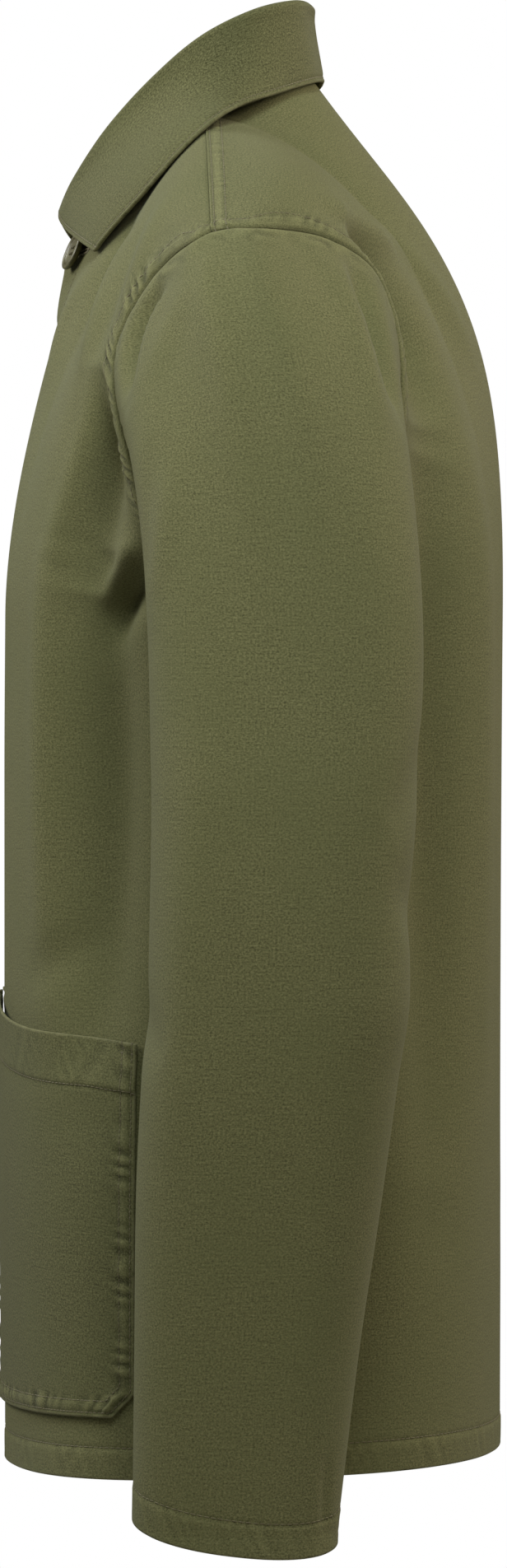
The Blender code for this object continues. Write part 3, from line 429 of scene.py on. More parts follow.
def armhole_path(table, guess, back):
    """(u, b) at equal steps from the shoulder seam to the side seam."""
    line = round_curve(np.stack([table["y"], table["z"]], axis=1), ARM_STEPS)
    start = guess + (0.5 - guess) * np.abs(np.linspace(-1, 1, len(line))) ** 2
    u, b = find_on_body(*line.T, start, back)
    u[0] = u[-1] = 0.5 + SEARCH_STEP * back
    b[0], b[-1] = 2, 1
    return u, b


ARMHOLE_GUESS = (0.38, 0.66)   # the u at which the search for its middle starts, in front and behind
ARMHOLES = {
    False: armhole_path(ARMHOLE_FRONT, ARMHOLE_GUESS[0], False),
    True: armhole_path(ARMHOLE_BACK, ARMHOLE_GUESS[1], True),
}


def armhole(t, back):
    """(u, b) on the armhole's edge, t from 0 at the side seam to 1 at the shoulder seam."""
    u, b = ARMHOLES[back]
    at = np.linspace(1, 0, len(u))
    return np.interp(t, at[::-1], u[::-1]), np.interp(t, at[::-1], b[::-1])


def round_armhole(turn):
    """(u, b) on the edge, for a turn from 0 at the side seam by the front to 0.5 at the shoulder."""
    front_u, front_b = armhole(2 * turn, False)
    back_u, back_b = armhole(2 - 2 * turn, True)
    front = np.asarray(turn) <= 0.5
    return np.where(front, front_u, back_u), np.where(front, front_b, back_b)


def sleeve_ring(turn, z):
    """A point of the sleeve below the armhole, before its cuff slopes."""
    size = row(SLEEVE, "z", z)
    angle = 2 * math.pi * np.asarray(turn)
    ways = (-np.cos(angle), -np.sin(angle))
    across, along = (np.sign(way) * np.abs(way) ** (2 / SLEEVE_ROUND) for way in ways)
    x = (size["outer"] + size["inner"]) / 2 + (size["outer"] - size["inner"]) / 2 * across
    y = (size["back"] + size["front"]) / 2 + (size["back"] - size["front"]) / 2 * along
    return np.stack([x, y, z], axis=-1)


def cuff_height(turn):
    """The height of the cuff's edge, which slopes."""
    flat = sleeve_ring(turn, np.full_like(turn, SLEEVE["z"][-1]))
    middle = (SLEEVE["outer"][-1] + SLEEVE["inner"][-1]) / 2
    centre = (SLEEVE["front"][-1] + SLEEVE["back"][-1]) / 2
    return flat[..., 2] - CUFF_DROP_OUT * (flat[..., 0] - middle) - CUFF_DROP_BACK * (flat[..., 1] - centre)


CAP_END = 0.22             # the share of the sleeve's length that is its cap


def sleeve(turn, down):
    """A point of the left sleeve: down is 0 at the armhole and 1 at the cuff."""
    turn, down = np.broadcast_arrays(np.asarray(turn, float), np.asarray(down, float))
    turn = turn % 1
    first_z = np.full_like(turn, SLEEVE["z"][0])
    share = np.clip((down - CAP_END) / (1 - CAP_END), 0, 1)
    low = sleeve_ring(turn, first_z + (cuff_height(turn) - first_z) * share)
    ring, below = sleeve_ring(turn, first_z), sleeve_ring(turn, first_z - LEAVE_STEP)
    pull = row(CAP, "turn", turn)
    seam = body(*round_armhole(turn))
    leave = seam + np.stack([pull["x"], pull["y"], pull["z"]], axis=-1)
    arrive = ring + unit(ring - below) * pull["rise"][..., None]
    high = bezier(seam, leave, arrive, ring, np.clip(down / CAP_END, 0, 1))
    return np.where((down < CAP_END)[..., None], high, low)


def sleeve_normal(turn, down):
    return normals(sleeve, turn, down, np.full_like(turn, STEP), np.where(down > 0.5, -STEP, STEP)) * -1


def seam_normal(turn):
    """The normal that body and sleeve share along the armhole."""
    u, b = round_armhole(turn)
    return unit(body_normal(u, b) + sleeve_normal(turn, np.zeros_like(turn)))


def grid_normals(points, closed=False):
    """Outward normals of a grid whose rows run down and whose columns run anticlockwise from above."""
    if closed:
        across = np.roll(points, -1, axis=1) - np.roll(points, 1, axis=1)
    else:
        across = np.gradient(points, axis=1)
    down = np.gradient(points, axis=0)
    return unit(np.cross(down, across))


def edge_inwards(edge, out, inner, closed):
    """Unit steps from an edge of a grid into it, square to the edge and in the surface."""
    along = np.roll(edge, -1, axis=0) - np.roll(edge, 1, axis=0) if closed else np.gradient(edge, axis=0)
    step = unit(np.cross(out, along))
    return step * np.sign(((inner - edge) * step).sum())


def draw_in(points, out, closed=False):
    """Moves the first and last rows and columns of a grid in by half a seam's gap."""
    moved = points.copy()
    half = SEAM_GAP / 2
    moved[0] += half * edge_inwards(points[0], out[0], points[1], closed)
    moved[-1] += half * edge_inwards(points[-1], out[-1], points[-2], closed)
    if not closed:
        moved[:, 0] += half * edge_inwards(points[:, 0], out[:, 0], points[:, 1], False)
        moved[:, -1] += half * edge_inwards(points[:, -1], out[:, -1], points[:, -2], False)
    return moved


FRONT_ARC = 0.28           # round the front from its middle to the side seam
LAP_U = 0.5 * LAP / FRONT_ARC
POCKET_U = (0.072, 0.402)  # where the pocket's two sides are
NECK_U = NECK_SHARE / 2    # where the shoulder seam meets the neckline
UNDER_LAP = 0.0030         # how much further in the right front lies where the left one covers it
COVER_END, COVER_FADE = 2.4, 1.2   # where that ends and how wide it fades, in laps from the middle


def stepped(stops, counts):
    """Steps between stops, with so many between each two."""
    parts = [np.linspace(a, b, n + 1)[:-1] for a, b, n in zip(stops[:-1], stops[1:], counts)]
    return np.concatenate(parts + [stops[-1:]])


def shoulder_normal(share):
    """The normal that front and back share along the shoulder seam, from the neck (0) to the arm (1)."""
    u = NECK_U + (0.5 - NECK_U) * share
    top = np.full_like(u, 2.0)
    along = unit(body_normal(u, top) + body_normal(1 - u, top))
    end = seam_normal(np.full_like(u, 0.5))
    return unit(along * (1 - share[:, None] ** 4) + end * share[:, None] ** 4)


# ---------------- cloth shells
LEAST_SLANT = 0.3          # the least that a line which leaves an edge slantwise counts for


def reach_from(grid, edge):
    """How far each point of a grid is from one edge, along the grid's own lines, square to the edge."""
    lines = grid if edge in ("left", "right") else grid.swapaxes(0, 1)
    if edge in ("right", "bottom"):
        lines = lines[:, ::-1]
    edge_way = unit(np.gradient(lines[:, 0], axis=0))
    slant = np.linalg.norm(np.cross(edge_way, unit(lines[:, 1] - lines[:, 0])), axis=1)
    reach = way_along(lines, 1) * np.clip(slant, LEAST_SLANT, 1)[:, None]
    if edge in ("right", "bottom"):
        reach = reach[:, ::-1]
    return reach if edge in ("left", "right") else reach.T


def run_along(grid, edge):
    """How far along one edge each point of a grid lies."""
    line = {"left": grid[:, 0], "right": grid[:, -1], "top": grid[0], "bottom": grid[-1]}[edge]
    run = way_along(line)
    return run[:, None] if edge in ("left", "right") else run[None, :]


def sewn_line(grid, out, edge, inset, first=0.0, last=1.0):
    """The points and outward directions of a line that stays inset from an edge of a grid."""
    reach = reach_from(grid, edge)
    if edge in ("top", "bottom"):
        grid, out, reach = grid.swapaxes(0, 1), out.swapaxes(0, 1), reach.T
    if edge in ("right", "bottom"):
        grid, out, reach = grid[:, ::-1], out[:, ::-1], reach[:, ::-1]
    rows = np.arange(round(first * (len(grid) - 1)), round(last * (len(grid) - 1)) + 1)
    grid, out, reach = grid[rows], out[rows], reach[rows]
    k = np.clip((reach <= inset).sum(1) - 1, 0, reach.shape[1] - 2)
    i = np.arange(len(rows))
    share = ((inset - reach[i, k]) / (reach[i, k + 1] - reach[i, k]))[:, None]
    line = grid[i, k] * (1 - share) + grid[i, k + 1] * share
    return line, unit(out[i, k] * (1 - share) + out[i, k + 1] * share)


PUCKER_WAVE = 0.0088       # between puckers along a seam
SPACING_DRIFT, SPACING_RATE = 2.1, 0.29    # how far and how often that spacing varies
HEIGHT_DRIFT, HEIGHT_RATE = 0.38, 0.171    # and how far and how often their height does
PUCKER_PAST, PUCKER_SOFT = 0.0012, 0.0022  # how far they pass the band of the seam, and how softly
PUCKER_START = 0.0025      # where they set in beside the edge
STITCH_GROOVE, GROOVE_WIDE = 0.00045, 0.0011   # of a row of stitches sunk in the cloth
BAND_SOFT = 0.0015         # the fall at the end of a raised band
DIP_WIDE = 0.0014          # how far in from an edge its dip reaches
HOLLOW_PASSES = 4          # rounds of smoothing, to find what lies round a hollow
HOLLOW_DEEP = 0.00045      # the depth that counts as fully hollow
RIM_BULGE = 0.28           # of a rounded rim, as a share of the cloth's thickness
RIM_SEEN = 0.05            # how far in from a rim the distance to it is kept
EDGES = ("left", "right", "top", "bottom")


def uneven_wave(run):
    """Puckers along a seam, uneven in length and depth."""
    turn = 2 * math.pi * run / PUCKER_WAVE
    wave = np.sin(turn + SPACING_DRIFT * np.sin(SPACING_RATE * turn))
    return wave * (1 - HEIGHT_DRIFT + HEIGHT_DRIFT * np.sin(HEIGHT_RATE * turn + 1.0))


def band(reach, width, soft=BAND_SOFT):
    """1 within width of an edge, fading to 0 past it."""
    return smooth_step((width + soft - reach) / (2 * soft))


def line_at(reach, inset, wide):
    """1 on a line that stays inset from an edge, fading on both sides."""
    return np.exp(-(((reach - inset) / wide) ** 2))


def seam_relief(grid, edge, raised, width, insets, dip, puckers, lean):
    """How far the cloth stands out beside a seam or hem: a raised band, a groove under each row of
    stitches, a dip at the edge itself, and puckers across the band."""
    reach = reach_from(grid, edge)
    run = run_along(grid, edge)
    height = raised * band(reach, width) - dip * line_at(reach, 0, DIP_WIDE)
    for inset in insets:
        height = height - STITCH_GROOVE * line_at(reach, inset, GROOVE_WIDE)
    spread = band(reach, width + PUCKER_PAST, PUCKER_SOFT) * (1 - line_at(reach, 0, PUCKER_START))
    return height + puckers * uneven_wave(run + lean * reach) * spread


def wrap_round(grid):
    """A grid that goes all round, with its first column again at the end."""
    return np.concatenate([grid, grid[:, :1]], axis=1)


def cloth_uv(grid, level, upright, closed):
    """Metres along the weft and down the warp of each point, from one row and one column."""
    if closed:
        grid = wrap_round(grid)
    across, down = way_along(grid, 1), way_along(grid, 0)
    return np.stack([across - across[:, upright : upright + 1], down[level : level + 1] - down], axis=-1)


def relief_painted_shade(relief):
    """The mask of painted shade and painted light from the cloth's relief: 1 where the relief lies below what
    is round it, as under stitches, and -1 where above.
    """
    soft = relief
    for _ in range(HOLLOW_PASSES):
        wide = np.pad(soft, 1, mode="edge")
        soft = (wide[:-2, 1:-1] + wide[2:, 1:-1] + wide[1:-1, :-2] + wide[1:-1, 2:] + 2 * soft) / 6
    return np.clip((soft - relief) / HOLLOW_DEEP, -1, 1)


def rim_of(grid, inner, thick, closed):
    """Where the rounded rim of a shell would lie beside each of its points."""
    middle = (grid + inner) / 2
    push = np.zeros_like(grid)
    push[0] -= unit(middle[1] - middle[0])
    push[-1] -= unit(middle[-2] - middle[-1])
    if not closed:
        push[:, 0] -= unit(middle[:, 1] - middle[:, 0])
        push[:, -1] -= unit(middle[:, -2] - middle[:, -1])
    length = np.linalg.norm(push, axis=-1, keepdims=True)
    return (middle + push / np.maximum(length, 1) * thick * RIM_BULGE).reshape(-1, 3)


def mark(piece, label, values):
    """Keeps a value for each vertex of a piece, for its material to read."""
    piece.data.attributes.new(label, "FLOAT", "POINT").data.foreach_set("value", values)


def shell(name, grid, out, thick, finish, relief, side=1, closed=False, grain=(0, 0), edges=EDGES):
    """A closed shell of cloth with rounded rims, from its outer grid. Rows run down, and columns
    anticlockwise as seen from above, or clockwise on the right side (-1)."""
    rows, columns = grid.shape[:2]
    inner = grid - out * thick
    shift = rows * columns
    number = np.arange(shift).reshape(rows, columns)
    uv = cloth_uv(grid, *grain, closed)
    uv_number = np.arange(uv.shape[0] * uv.shape[1]).reshape(uv.shape[:2])
    if closed:
        number = wrap_round(number)
    quads, places = (
        np.stack([n[:-1, :-1], n[1:, :-1], n[1:, 1:], n[:-1, 1:]], axis=-1).reshape(-1, 4)
        for n in (number, uv_number)
    )
    both = (number, uv_number)
    if closed:
        loops = [tuple(n[0] for n in both), tuple(n[-1, ::-1] for n in both)]
    else:
        loops = [tuple(np.concatenate([n[0], n[1:, -1], n[-1, -2::-1], n[-2::-1, 0]]) for n in both)]
    vertices = [grid.reshape(-1, 3), inner.reshape(-1, 3)]
    faces, face_uv = [quads, shift + quads[:, ::-1]], [places, places[:, ::-1]]
    rim = rim_of(grid, inner, thick, closed)
    start = 2 * shift
    for loop, loop_uv in loops:
        vertices.append(rim[loop[:-1]])
        count = len(loop) - 1
        around = start + np.append(np.arange(count), 0)
        faces.append(np.stack([loop[:-1], loop[1:], around[1:], around[:-1]], axis=-1))
        faces.append(np.stack([around[:-1], around[1:], shift + loop[1:], shift + loop[:-1]], axis=-1))
        strip = np.stack([loop_uv[:-1], loop_uv[1:], loop_uv[1:], loop_uv[:-1]], axis=-1)
        face_uv += [strip, strip]
        start += count
    faces, face_uv = np.concatenate(faces), np.concatenate(face_uv)
    if side < 0:
        faces, face_uv = faces[:, ::-1], face_uv[:, ::-1]
    made = mesh_piece(name, np.concatenate(vertices), faces.tolist(), finish)
    layer = made.data.uv_layers.new(name="UVMap")
    layer.data.foreach_set("uv", uv.reshape(-1, 2)[face_uv.reshape(-1)].reshape(-1))
    near = np.min([reach_from(grid, edge) for edge in edges], axis=0).reshape(-1)
    mark(made, "rim", np.minimum(np.concatenate([near, near, np.zeros(start - 2 * shift)]), RIM_SEEN))
    # The 'hollow' value drives painted shade where puckers and stitches sink, and painted light where the
    # cloth stands up between them.
    mark(made, "hollow", np.concatenate([relief_painted_shade(relief).reshape(-1), np.zeros(start - shift)]))
    return made


def mesh_piece(name, vertices, faces, finish):
    """A smooth mesh with one finish, in the scene."""
    mesh = bpy.data.meshes.new(name)
    mesh.from_pydata(np.asarray(vertices).tolist(), [], faces)
    mesh.shade_smooth()
    mesh.materials.append(finish)
    made = bpy.data.objects.new(name, mesh)
    bpy.context.collection.objects.link(made)
    return made


ROWS_OF_STITCHES = {}


def sew(name, line):
    """Keeps a line to be stitched, under the name of the piece that it is sewn to."""
    ROWS_OF_STITCHES.setdefault(name, []).append(line)


def sew_rows(name, grid, facing, rows):
    """Rows of stitches along edges of a grid: the edge, how far in, and from which share of it to which."""
    for edge, inset, first, last in rows:
        sew(name, sewn_line(grid, facing, edge, inset, first, last))


# ---------------- panels
# The distances from an edge at which a grid has its fine rows or columns.
EDGE_STEPS = (
    0, 0.0008, 0.0016, 0.0028, 0.0044, 0.0060, 0.0070, 0.0076, 0.0082, 0.0088, 0.0098, 0.0115, 0.0140,
)
HEM_STEPS = (
    0, 0.0010, 0.0024, 0.0050, 0.0080, 0.0110, 0.0132, 0.0142, 0.0150, 0.0158, 0.0168, 0.0186, 0.0220,
)
CLOSING_STEPS = (0, 0.0008, 0.0018, 0.0026, 0.0036, 0.0060)
SEAM_ROWS = (0, 0.0009, 0.0017, 0.0025, 0.0040, 0.0058, 0.0068, 0.0076, 0.0084, 0.0100)
STEP_ROOM = 1.4            # how far the even columns keep from the fine ones, in their whole width
HEM_DEPTH, CUFF_DEPTH = 0.0150, 0.0165
ARMHOLE_ROW = 0.0080       # the row of stitches on the body beside the armhole
CLOSING_ROW = 0.0026       # and the one beside the closing
PLACKET_ROW = 0.034        # and the one that holds the placket's inner edge
SHOULDER_STITCHES = (0.0017, 0.0076)
LOWER_LENGTH, UPPER_LENGTH = 0.416, 0.235
ROWS_UP, ROWS_LOW = 104, 92
FRONT_COLUMNS, BACK_COLUMNS = (26, 46), (54, 50, 54)   # on each part of the top edge
FRONT_WIDTH, BACK_WIDTH = 0.290, 0.560   # over which a panel's fine columns are measured
COLLAR_ROW = 0.0022        # the row of stitches round the collar's edge
POCKET_HEM = 0.0238        # depth of the hem at a pocket's mouth
POCKET_STITCHES = (0.0021, 0.0080)

# How each kind of seam and hem lies, in metres: how far its band is raised and how wide the band is,
# where its rows of stitches sink in, how far the edge itself dips, how high its puckers are, and by
# how much they slant.
SEAM_COLUMNS = ("raised", "width", "insets", "dip", "puckers", "lean")
SEAMS = {
    "armhole": (0.00055, 0.0088, (ARMHOLE_ROW,), 0.0012, 0.00035, 0.3),
    "side": (0.0003, 0.0070, (), 0.0006, 0.00020, 0.0),
    "hem": (0.00030, HEM_DEPTH, (HEM_DEPTH,), 0.0, 0.00018, 0.5),
    "closing": (0.0003, 0.0030, (CLOSING_ROW,), 0.0, 0.00010, 0.0),
    "shoulder": (0.00055, 0.0086, SHOULDER_STITCHES, 0.0, 0.00022, 0.4),
    "cuff": (0.00030, CUFF_DEPTH, (CUFF_DEPTH,), 0.0, 0.00016, 0.5),
    "cap": (0.0, 0.010, (), 0.0010, 0.00030, 0.6),
    "collar_edge": (0.00015, 0.0030, (COLLAR_ROW,), 0.0, 0.00012, 0.4),
    "collar_end": (0.00015, 0.0030, (COLLAR_ROW,), 0.0, 0.00010, 0.4),
    "pocket_mouth": (0.00045, POCKET_HEM, (POCKET_HEM,), 0.0, 0.00018, 0.5),
    "pocket_side": (0.0005, 0.0086, POCKET_STITCHES, 0.0003, 0.00075, 0.15),
}
# Beside the armhole the front's puckers are high where the sleeve pulls, and low near the shoulder.
ARMHOLE_PUCKERS = {"front": 0.0010, "shoulder": 0.0003, "from": 0.40, "over": 0.08}
SHOULDER_DIP = 0.0006      # of the front where the back laps over it along the shoulder seam


def sewn(kind, grid, edge, **instead):
    """The relief of one kind of seam along an edge of a grid."""
    return seam_relief(grid, edge, **dict(zip(SEAM_COLUMNS, SEAMS[kind])) | instead)


SOFTENED = 0.4             # how far stitches keep to the cloth's larger shape


def stitch_facing(grid, out, side=1):
    """The way that stitches face: square to the cloth's relief, softened towards its larger shape."""
    return unit(grid_normals(grid) * side + out * SOFTENED)


def upper_steps():
    """t down the armhole, fine beside the shoulder seam."""
    near = 1 - np.array(SEAM_ROWS) / UPPER_LENGTH
    return np.concatenate([near, np.linspace(near[-1], 0, ROWS_UP + 1)[1:]])


def lower_steps():
    """b down to the hem, fine beside it."""
    near = np.array(HEM_STEPS)[::-1] / LOWER_LENGTH
    return np.concatenate([np.linspace(1, near[0], ROWS_LOW + 1)[1:-1], near])


def shares(stops, counts, left, right, length):
    """Shares of a row, with columns at set distances from its two ends."""
    inner = stepped(stops, counts)
    low, high = np.array(left) / length, 1 - np.array(right)[::-1] / length
    keep = (inner > low[-1] * STEP_ROOM) & (inner < 1 - (1 - high[0]) * STEP_ROOM)
    return np.concatenate([low, inner[keep], high])


def fine_front(side):
    """(u, b) of the grid of a front, its turn down the armhole, and its column at the neck."""
    neck_share = (NECK_U + LAP_U) / (0.5 + LAP_U)
    share = shares((0, neck_share, 1), FRONT_COLUMNS, CLOSING_STEPS, EDGE_STEPS, FRONT_WIDTH)
    neck = int(np.argmin(np.abs(share - neck_share)))
    columns = -LAP_U + (0.5 + LAP_U) * share
    t = upper_steps()[:, None]
    hole_u, hole_b = armhole(t, False)
    upper_u = columns[0] + (hole_u - columns[0]) * share
    upper_b = 1 + t + (hole_b - 1 - t) * share**2
    lower_b = lower_steps()[:, None] + 0 * columns
    u = side * np.vstack([upper_u, columns + 0 * lower_b])
    return u, np.vstack([upper_b, lower_b]), t[:, 0] / 2, neck


def fine_back():
    """The same for the back."""
    half = (1 - 2 * NECK_U) / 2
    share = shares((0, half, 1 - half, 1), BACK_COLUMNS, EDGE_STEPS, EDGE_STEPS, BACK_WIDTH)
    columns = 0.5 + share
    neck = int(np.argmin(np.abs(share - half)))
    t = upper_steps()[:, None]
    hole_u, hole_b = armhole(t, True)
    upper_u = 1 + (columns - 1) * (1 - hole_u) * 2
    upper_b = 1 + t + (hole_b - 1 - t) * (np.abs(columns - 1) * 2) ** 2
    lower_b = lower_steps()[:, None] + 0 * columns
    return np.vstack([upper_u, columns + 0 * lower_b]), np.vstack([upper_b, lower_b]), 1 - t[:, 0] / 2, neck


ARMHOLE_CALM = 0.020       # how far from the armhole seam the body's folds reach their full height
MASK_ROWS, MASK_COLUMNS = 3, 3   # over which the two masks below fade


def row_mask(count, upper):
    """1 on the rows above the underarm, fading to 0 over a few rows."""
    return smooth_step((upper + MASK_ROWS - np.arange(count)[:, None]) / (2 * MASK_ROWS))


def shoulder_mask(count, neck, from_right=False):
    """1 on the columns past the neck, counted from the left or the right."""
    columns = np.arange(count)[None, :]
    if from_right:
        columns = count - 1 - columns
    return smooth_step((columns - neck) / MASK_COLUMNS)


def panel_grid(u, b, upper, edges):
    """A panel with the folds of its cloth, which fade out towards its armhole edges."""
    flat = body(u, b)
    above = row_mask(len(u), upper)
    fade = 1
    for edge in edges:
        fade = fade * (1 - above * (1 - smooth_step(reach_from(flat, edge) / ARMHOLE_CALM)))
    return flat + (folded_body(u, b) - flat) * (fade * np.ones(u.shape))[..., None]


RUBBED_EDGES = ("left", "right", "bottom")   # of the panels of the body


def armhole_run(upper, rows):
    """Where the row of stitches beside an armhole starts and ends, as shares of the panel's side."""
    return 0.012, upper / (rows - 1) * 0.97


def front_cloth(side, finish):
    """One front, with its placket, armhole, side seam and hem, and the rows of stitches on it."""
    name = "front_left" if side > 0 else "front_right"
    u, b, turn, neck = fine_front(side)
    upper = len(turn) - 1
    grid = panel_grid(u, b, upper, ("right",))
    out = grid_normals(grid) * side
    flip = (side, 1, 1)
    columns = np.linspace(0, 1, u.shape[1] - neck)
    out[: upper + 1, -1] = seam_normal(turn) * flip
    out[0, neck:] = shoulder_normal(columns) * flip
    out[0, -1] = seam_normal(turn[:1])[0] * flip
    out[upper:, -1] = (side, 0, 0)
    if side < 0:
        covered = smooth_step((u + COVER_END * LAP_U) / (COVER_FADE * LAP_U))
        grid = grid - out * (covered * UNDER_LAP)[..., None]
    rows = grid.shape[0]
    above = row_mask(rows, upper)
    turn_down = np.interp(np.arange(rows), np.arange(len(turn)), turn)[:, None]
    calm = smooth_step((turn_down - ARMHOLE_PUCKERS["from"]) / ARMHOLE_PUCKERS["over"])
    puckers = ARMHOLE_PUCKERS["front"] + (ARMHOLE_PUCKERS["shoulder"] - ARMHOLE_PUCKERS["front"]) * calm
    relief = sewn("armhole", grid, "right", puckers=puckers) * above
    relief += sewn("side", grid, "right") * (1 - above) + sewn("hem", grid, "bottom")
    relief += sewn("closing", grid, "left")
    dip = SHOULDER_DIP * line_at(reach_from(grid, "top"), 0, DIP_WIDE)
    relief -= dip * shoulder_mask(u.shape[1], neck)
    grid = draw_in(grid + out * relief[..., None], out)
    finer = stitch_facing(grid, out, side)
    sew_rows(name, grid, finer, (
        ("right", ARMHOLE_ROW, *armhole_run(upper, rows)),
        ("bottom", HEM_DEPTH, 0.01, 0.985),
        ("left", CLOSING_ROW, 0.03, 0.995),
    ))
    if side > 0:
        sew_rows(name, grid, finer, [("left", PLACKET_ROW, 0.05, 0.96)])
    return shell(name, grid, out, CLOTH, finish, relief, side, grain=(upper, neck), edges=RUBBED_EDGES)


def back_cloth(finish):
    """The back, in one panel from both shoulder seams to the hem."""
    u, b, turn, neck = fine_back()
    upper = len(turn) - 1
    grid = panel_grid(u, b, upper, ("left", "right"))
    out = grid_normals(grid)
    right = (-1, 1, 1)
    ramp = np.linspace(0, 1, neck + 1)
    out[: upper + 1, 0] = seam_normal(turn)
    out[: upper + 1, -1] = seam_normal(turn) * right
    out[0, : neck + 1] = shoulder_normal(ramp[::-1])
    out[0, -neck - 1 :] = shoulder_normal(ramp) * right
    out[0, 0], out[0, -1] = seam_normal(turn[:1])[0], seam_normal(turn[:1])[0] * right
    out[upper:, 0], out[upper:, -1] = (1, 0, 0), (-1, 0, 0)
    rows, columns = u.shape
    above = row_mask(rows, upper)
    relief = 0
    for edge in ("left", "right"):
        relief = relief + sewn("armhole", grid, edge) * above + sewn("side", grid, edge) * (1 - above)
    sides = 1 - shoulder_mask(columns, neck) * shoulder_mask(columns, neck, True)
    relief = relief + sewn("hem", grid, "bottom") + sewn("shoulder", grid, "top") * sides
    grid = draw_in(grid + out * relief[..., None], out)
    finer = stitch_facing(grid, out)
    neck_end = (neck - 1) / (columns - 1)
    lines = [(edge, ARMHOLE_ROW, *armhole_run(upper, rows)) for edge in ("left", "right")]
    lines.append(("bottom", HEM_DEPTH, 0.01, 0.99))
    for inset in SHOULDER_STITCHES:
        lines += [("top", inset, 0.002, neck_end), ("top", inset, 1 - neck_end, 0.998)]
    sew_rows("back", grid, finer, lines)
    return shell("back", grid, out, CLOTH, finish, relief, grain=(upper, columns // 2), edges=RUBBED_EDGES)


# ---------------- sleeves
SLEEVE_COLUMNS = 132
GRAIN_ROW = 60             # the ring from which its grain is measured up and down
SLEEVE_STOPS, SLEEVE_COUNTS = (0, 0.012, CAP_END, 0.955, 1), (6, 50, 96, 17)
SLEEVE_ARC = 0.34          # round it, about
UNDERARM_GROOVE = {"deep": 0.0005, "wide": 0.0012, "from": 0.02, "over": 0.02}   # of the sleeve's seam
FOLD_MOVE = {"turn": 0.010, "down": 0.008, "wide": 0.12, "high": 0.15}   # at most, on the right sleeve


def moved_fold(number, turn, down, wide, high):
    """A fold of the left sleeve as the right one has it: moved a little, wider or narrower, and lower."""
    turn = np.add(turn, FOLD_MOVE["turn"] * math.sin(2.1 * number))
    down = np.add(down, FOLD_MOVE["down"] * (1 + math.cos(number)))
    wide = wide * (1 + FOLD_MOVE["wide"] * math.sin(number))
    return turn, down, wide, high * (1 - FOLD_MOVE["high"] * (1 - math.cos(1.7 * number)))


SLEEVE_LINES = {
    1: fold_lines(sleeve, SLEEVE_FOLDS.values()),
    -1: fold_lines(sleeve, [moved_fold(k, *fold) for k, fold in enumerate(SLEEVE_FOLDS.values())]),
}


def sleeve_cloth(side, finish):
    """One sleeve, closed round, with its cap gathered into the armhole and its cuff hemmed."""
    name = "sleeve_left" if side > 0 else "sleeve_right"
    turn = np.arange(SLEEVE_COLUMNS)[None, :] / SLEEVE_COLUMNS
    down = stepped(SLEEVE_STOPS, SLEEVE_COUNTS)[:, None]
    turn, down = np.broadcast_arrays(turn, down)
    grid = sleeve(turn, down)
    height = sum(fold_height(grid, *line) for line in SLEEVE_LINES[side])
    height = height * smooth_step(down / SLEEVE_STOPS[1])
    grid = grid + sleeve_normal(turn, down) * height[..., None]
    out = grid_normals(grid, True)
    out[0] = seam_normal(turn[0])
    wrapped = wrap_round(grid)
    relief = (sewn("cuff", wrapped, "bottom") + sewn("cap", wrapped, "top"))[:, :-1]
    under = line_at(((turn + 0.5) % 1 - 0.5) * SLEEVE_ARC, 0, UNDERARM_GROOVE["wide"])
    below = smooth_step((down - UNDERARM_GROOVE["from"]) / UNDERARM_GROOVE["over"])
    relief = relief - UNDERARM_GROOVE["deep"] * under * below
    grid = draw_in(grid + out * relief[..., None], out, closed=True)
    flip = np.array([side, 1, 1])
    grid, out = grid * flip, out * flip
    sew(name, sewn_line(wrap_round(grid), wrap_round(out), "bottom", CUFF_DEPTH))
    grain = (GRAIN_ROW, SLEEVE_COLUMNS // 2)
    return shell(name, grid, out, CLOTH, finish, relief, side, True, grain, ("top", "bottom"))


# ---------------- collar
# The roll line at the top of the collar, from the centre front to the centre back.
ROLL = {
    "x": (0.0030, 0.0300, 0.0520, 0.0650, 0.0700, 0.0635, 0.0400, 0.0000),
    "y": (-0.0755, -0.0676, -0.0507, -0.0280, -0.0055, 0.0195, 0.0400, 0.0486),
    "z": (-0.0430, -0.0286, -0.0051, 0.0187, 0.0372, 0.0504, 0.0575, 0.0588),
}
# The collar's outer edge over the body, from its point to the centre back.
FALL = {
    "x": (0.0710, 0.1040, 0.1060, 0.0900, 0.0640, 0.0340, 0.0000),
    "y": (-0.0592, -0.0265, -0.0012, 0.0134, 0.0350, 0.0508, 0.0566),
    "z": (-0.0700, -0.0342, -0.0090, 0.0005, 0.0098, 0.0170, 0.0206),
}
COLLAR_START_U = 0.006     # where each half of the collar begins on the neckline
ROLL_RADIUS = 0.0030
STAND_GAP = -0.0012        # below 0, so that the stand reaches down past the neckline
FALL_BULGE = 0.004         # how much the fall rounds out at its point, fading to none at the back
FALL_LEAVE, FALL_ARRIVE = 0.30, 0.35   # how far its curve's handles reach, as shares of its depth
POINT_LEAVE = 0.10         # the first of these at the point, where the fall lies nearly flat
COLLAR_STEPS = 100
FALL_STOPS, FALL_COUNTS = (0, 0.90, 1), (24, 9)
ROLL_STEPS, STAND_STEPS = 12, 8
COLUMNS_CLOSER = 0.35      # how much closer the columns stand near its point
DROP_SHARE = 0.30          # of the way along, over which the fall's handle grows from the point's
FALL_START = 0.08          # how far past the roll its stitched edge sets in, as a share of the rows
COLLAR_WAVE = {"high": 0.0007, "long": 0.083, "longer": 0.191}   # the soft waves of its fall
UP = np.array([0.0, 0.0, 1.0])


def table_curve(table, count):
    """A round curve through the points of a table."""
    return round_curve(np.stack([table["x"], table["y"], table["z"]], axis=1), count)


def along_curve(points, at):
    """Points at shares of the way along a line of equal steps."""
    place = np.asarray(at) * (len(points) - 1)
    return np.stack([np.interp(place, np.arange(len(points)), column) for column in points.T], axis=1)


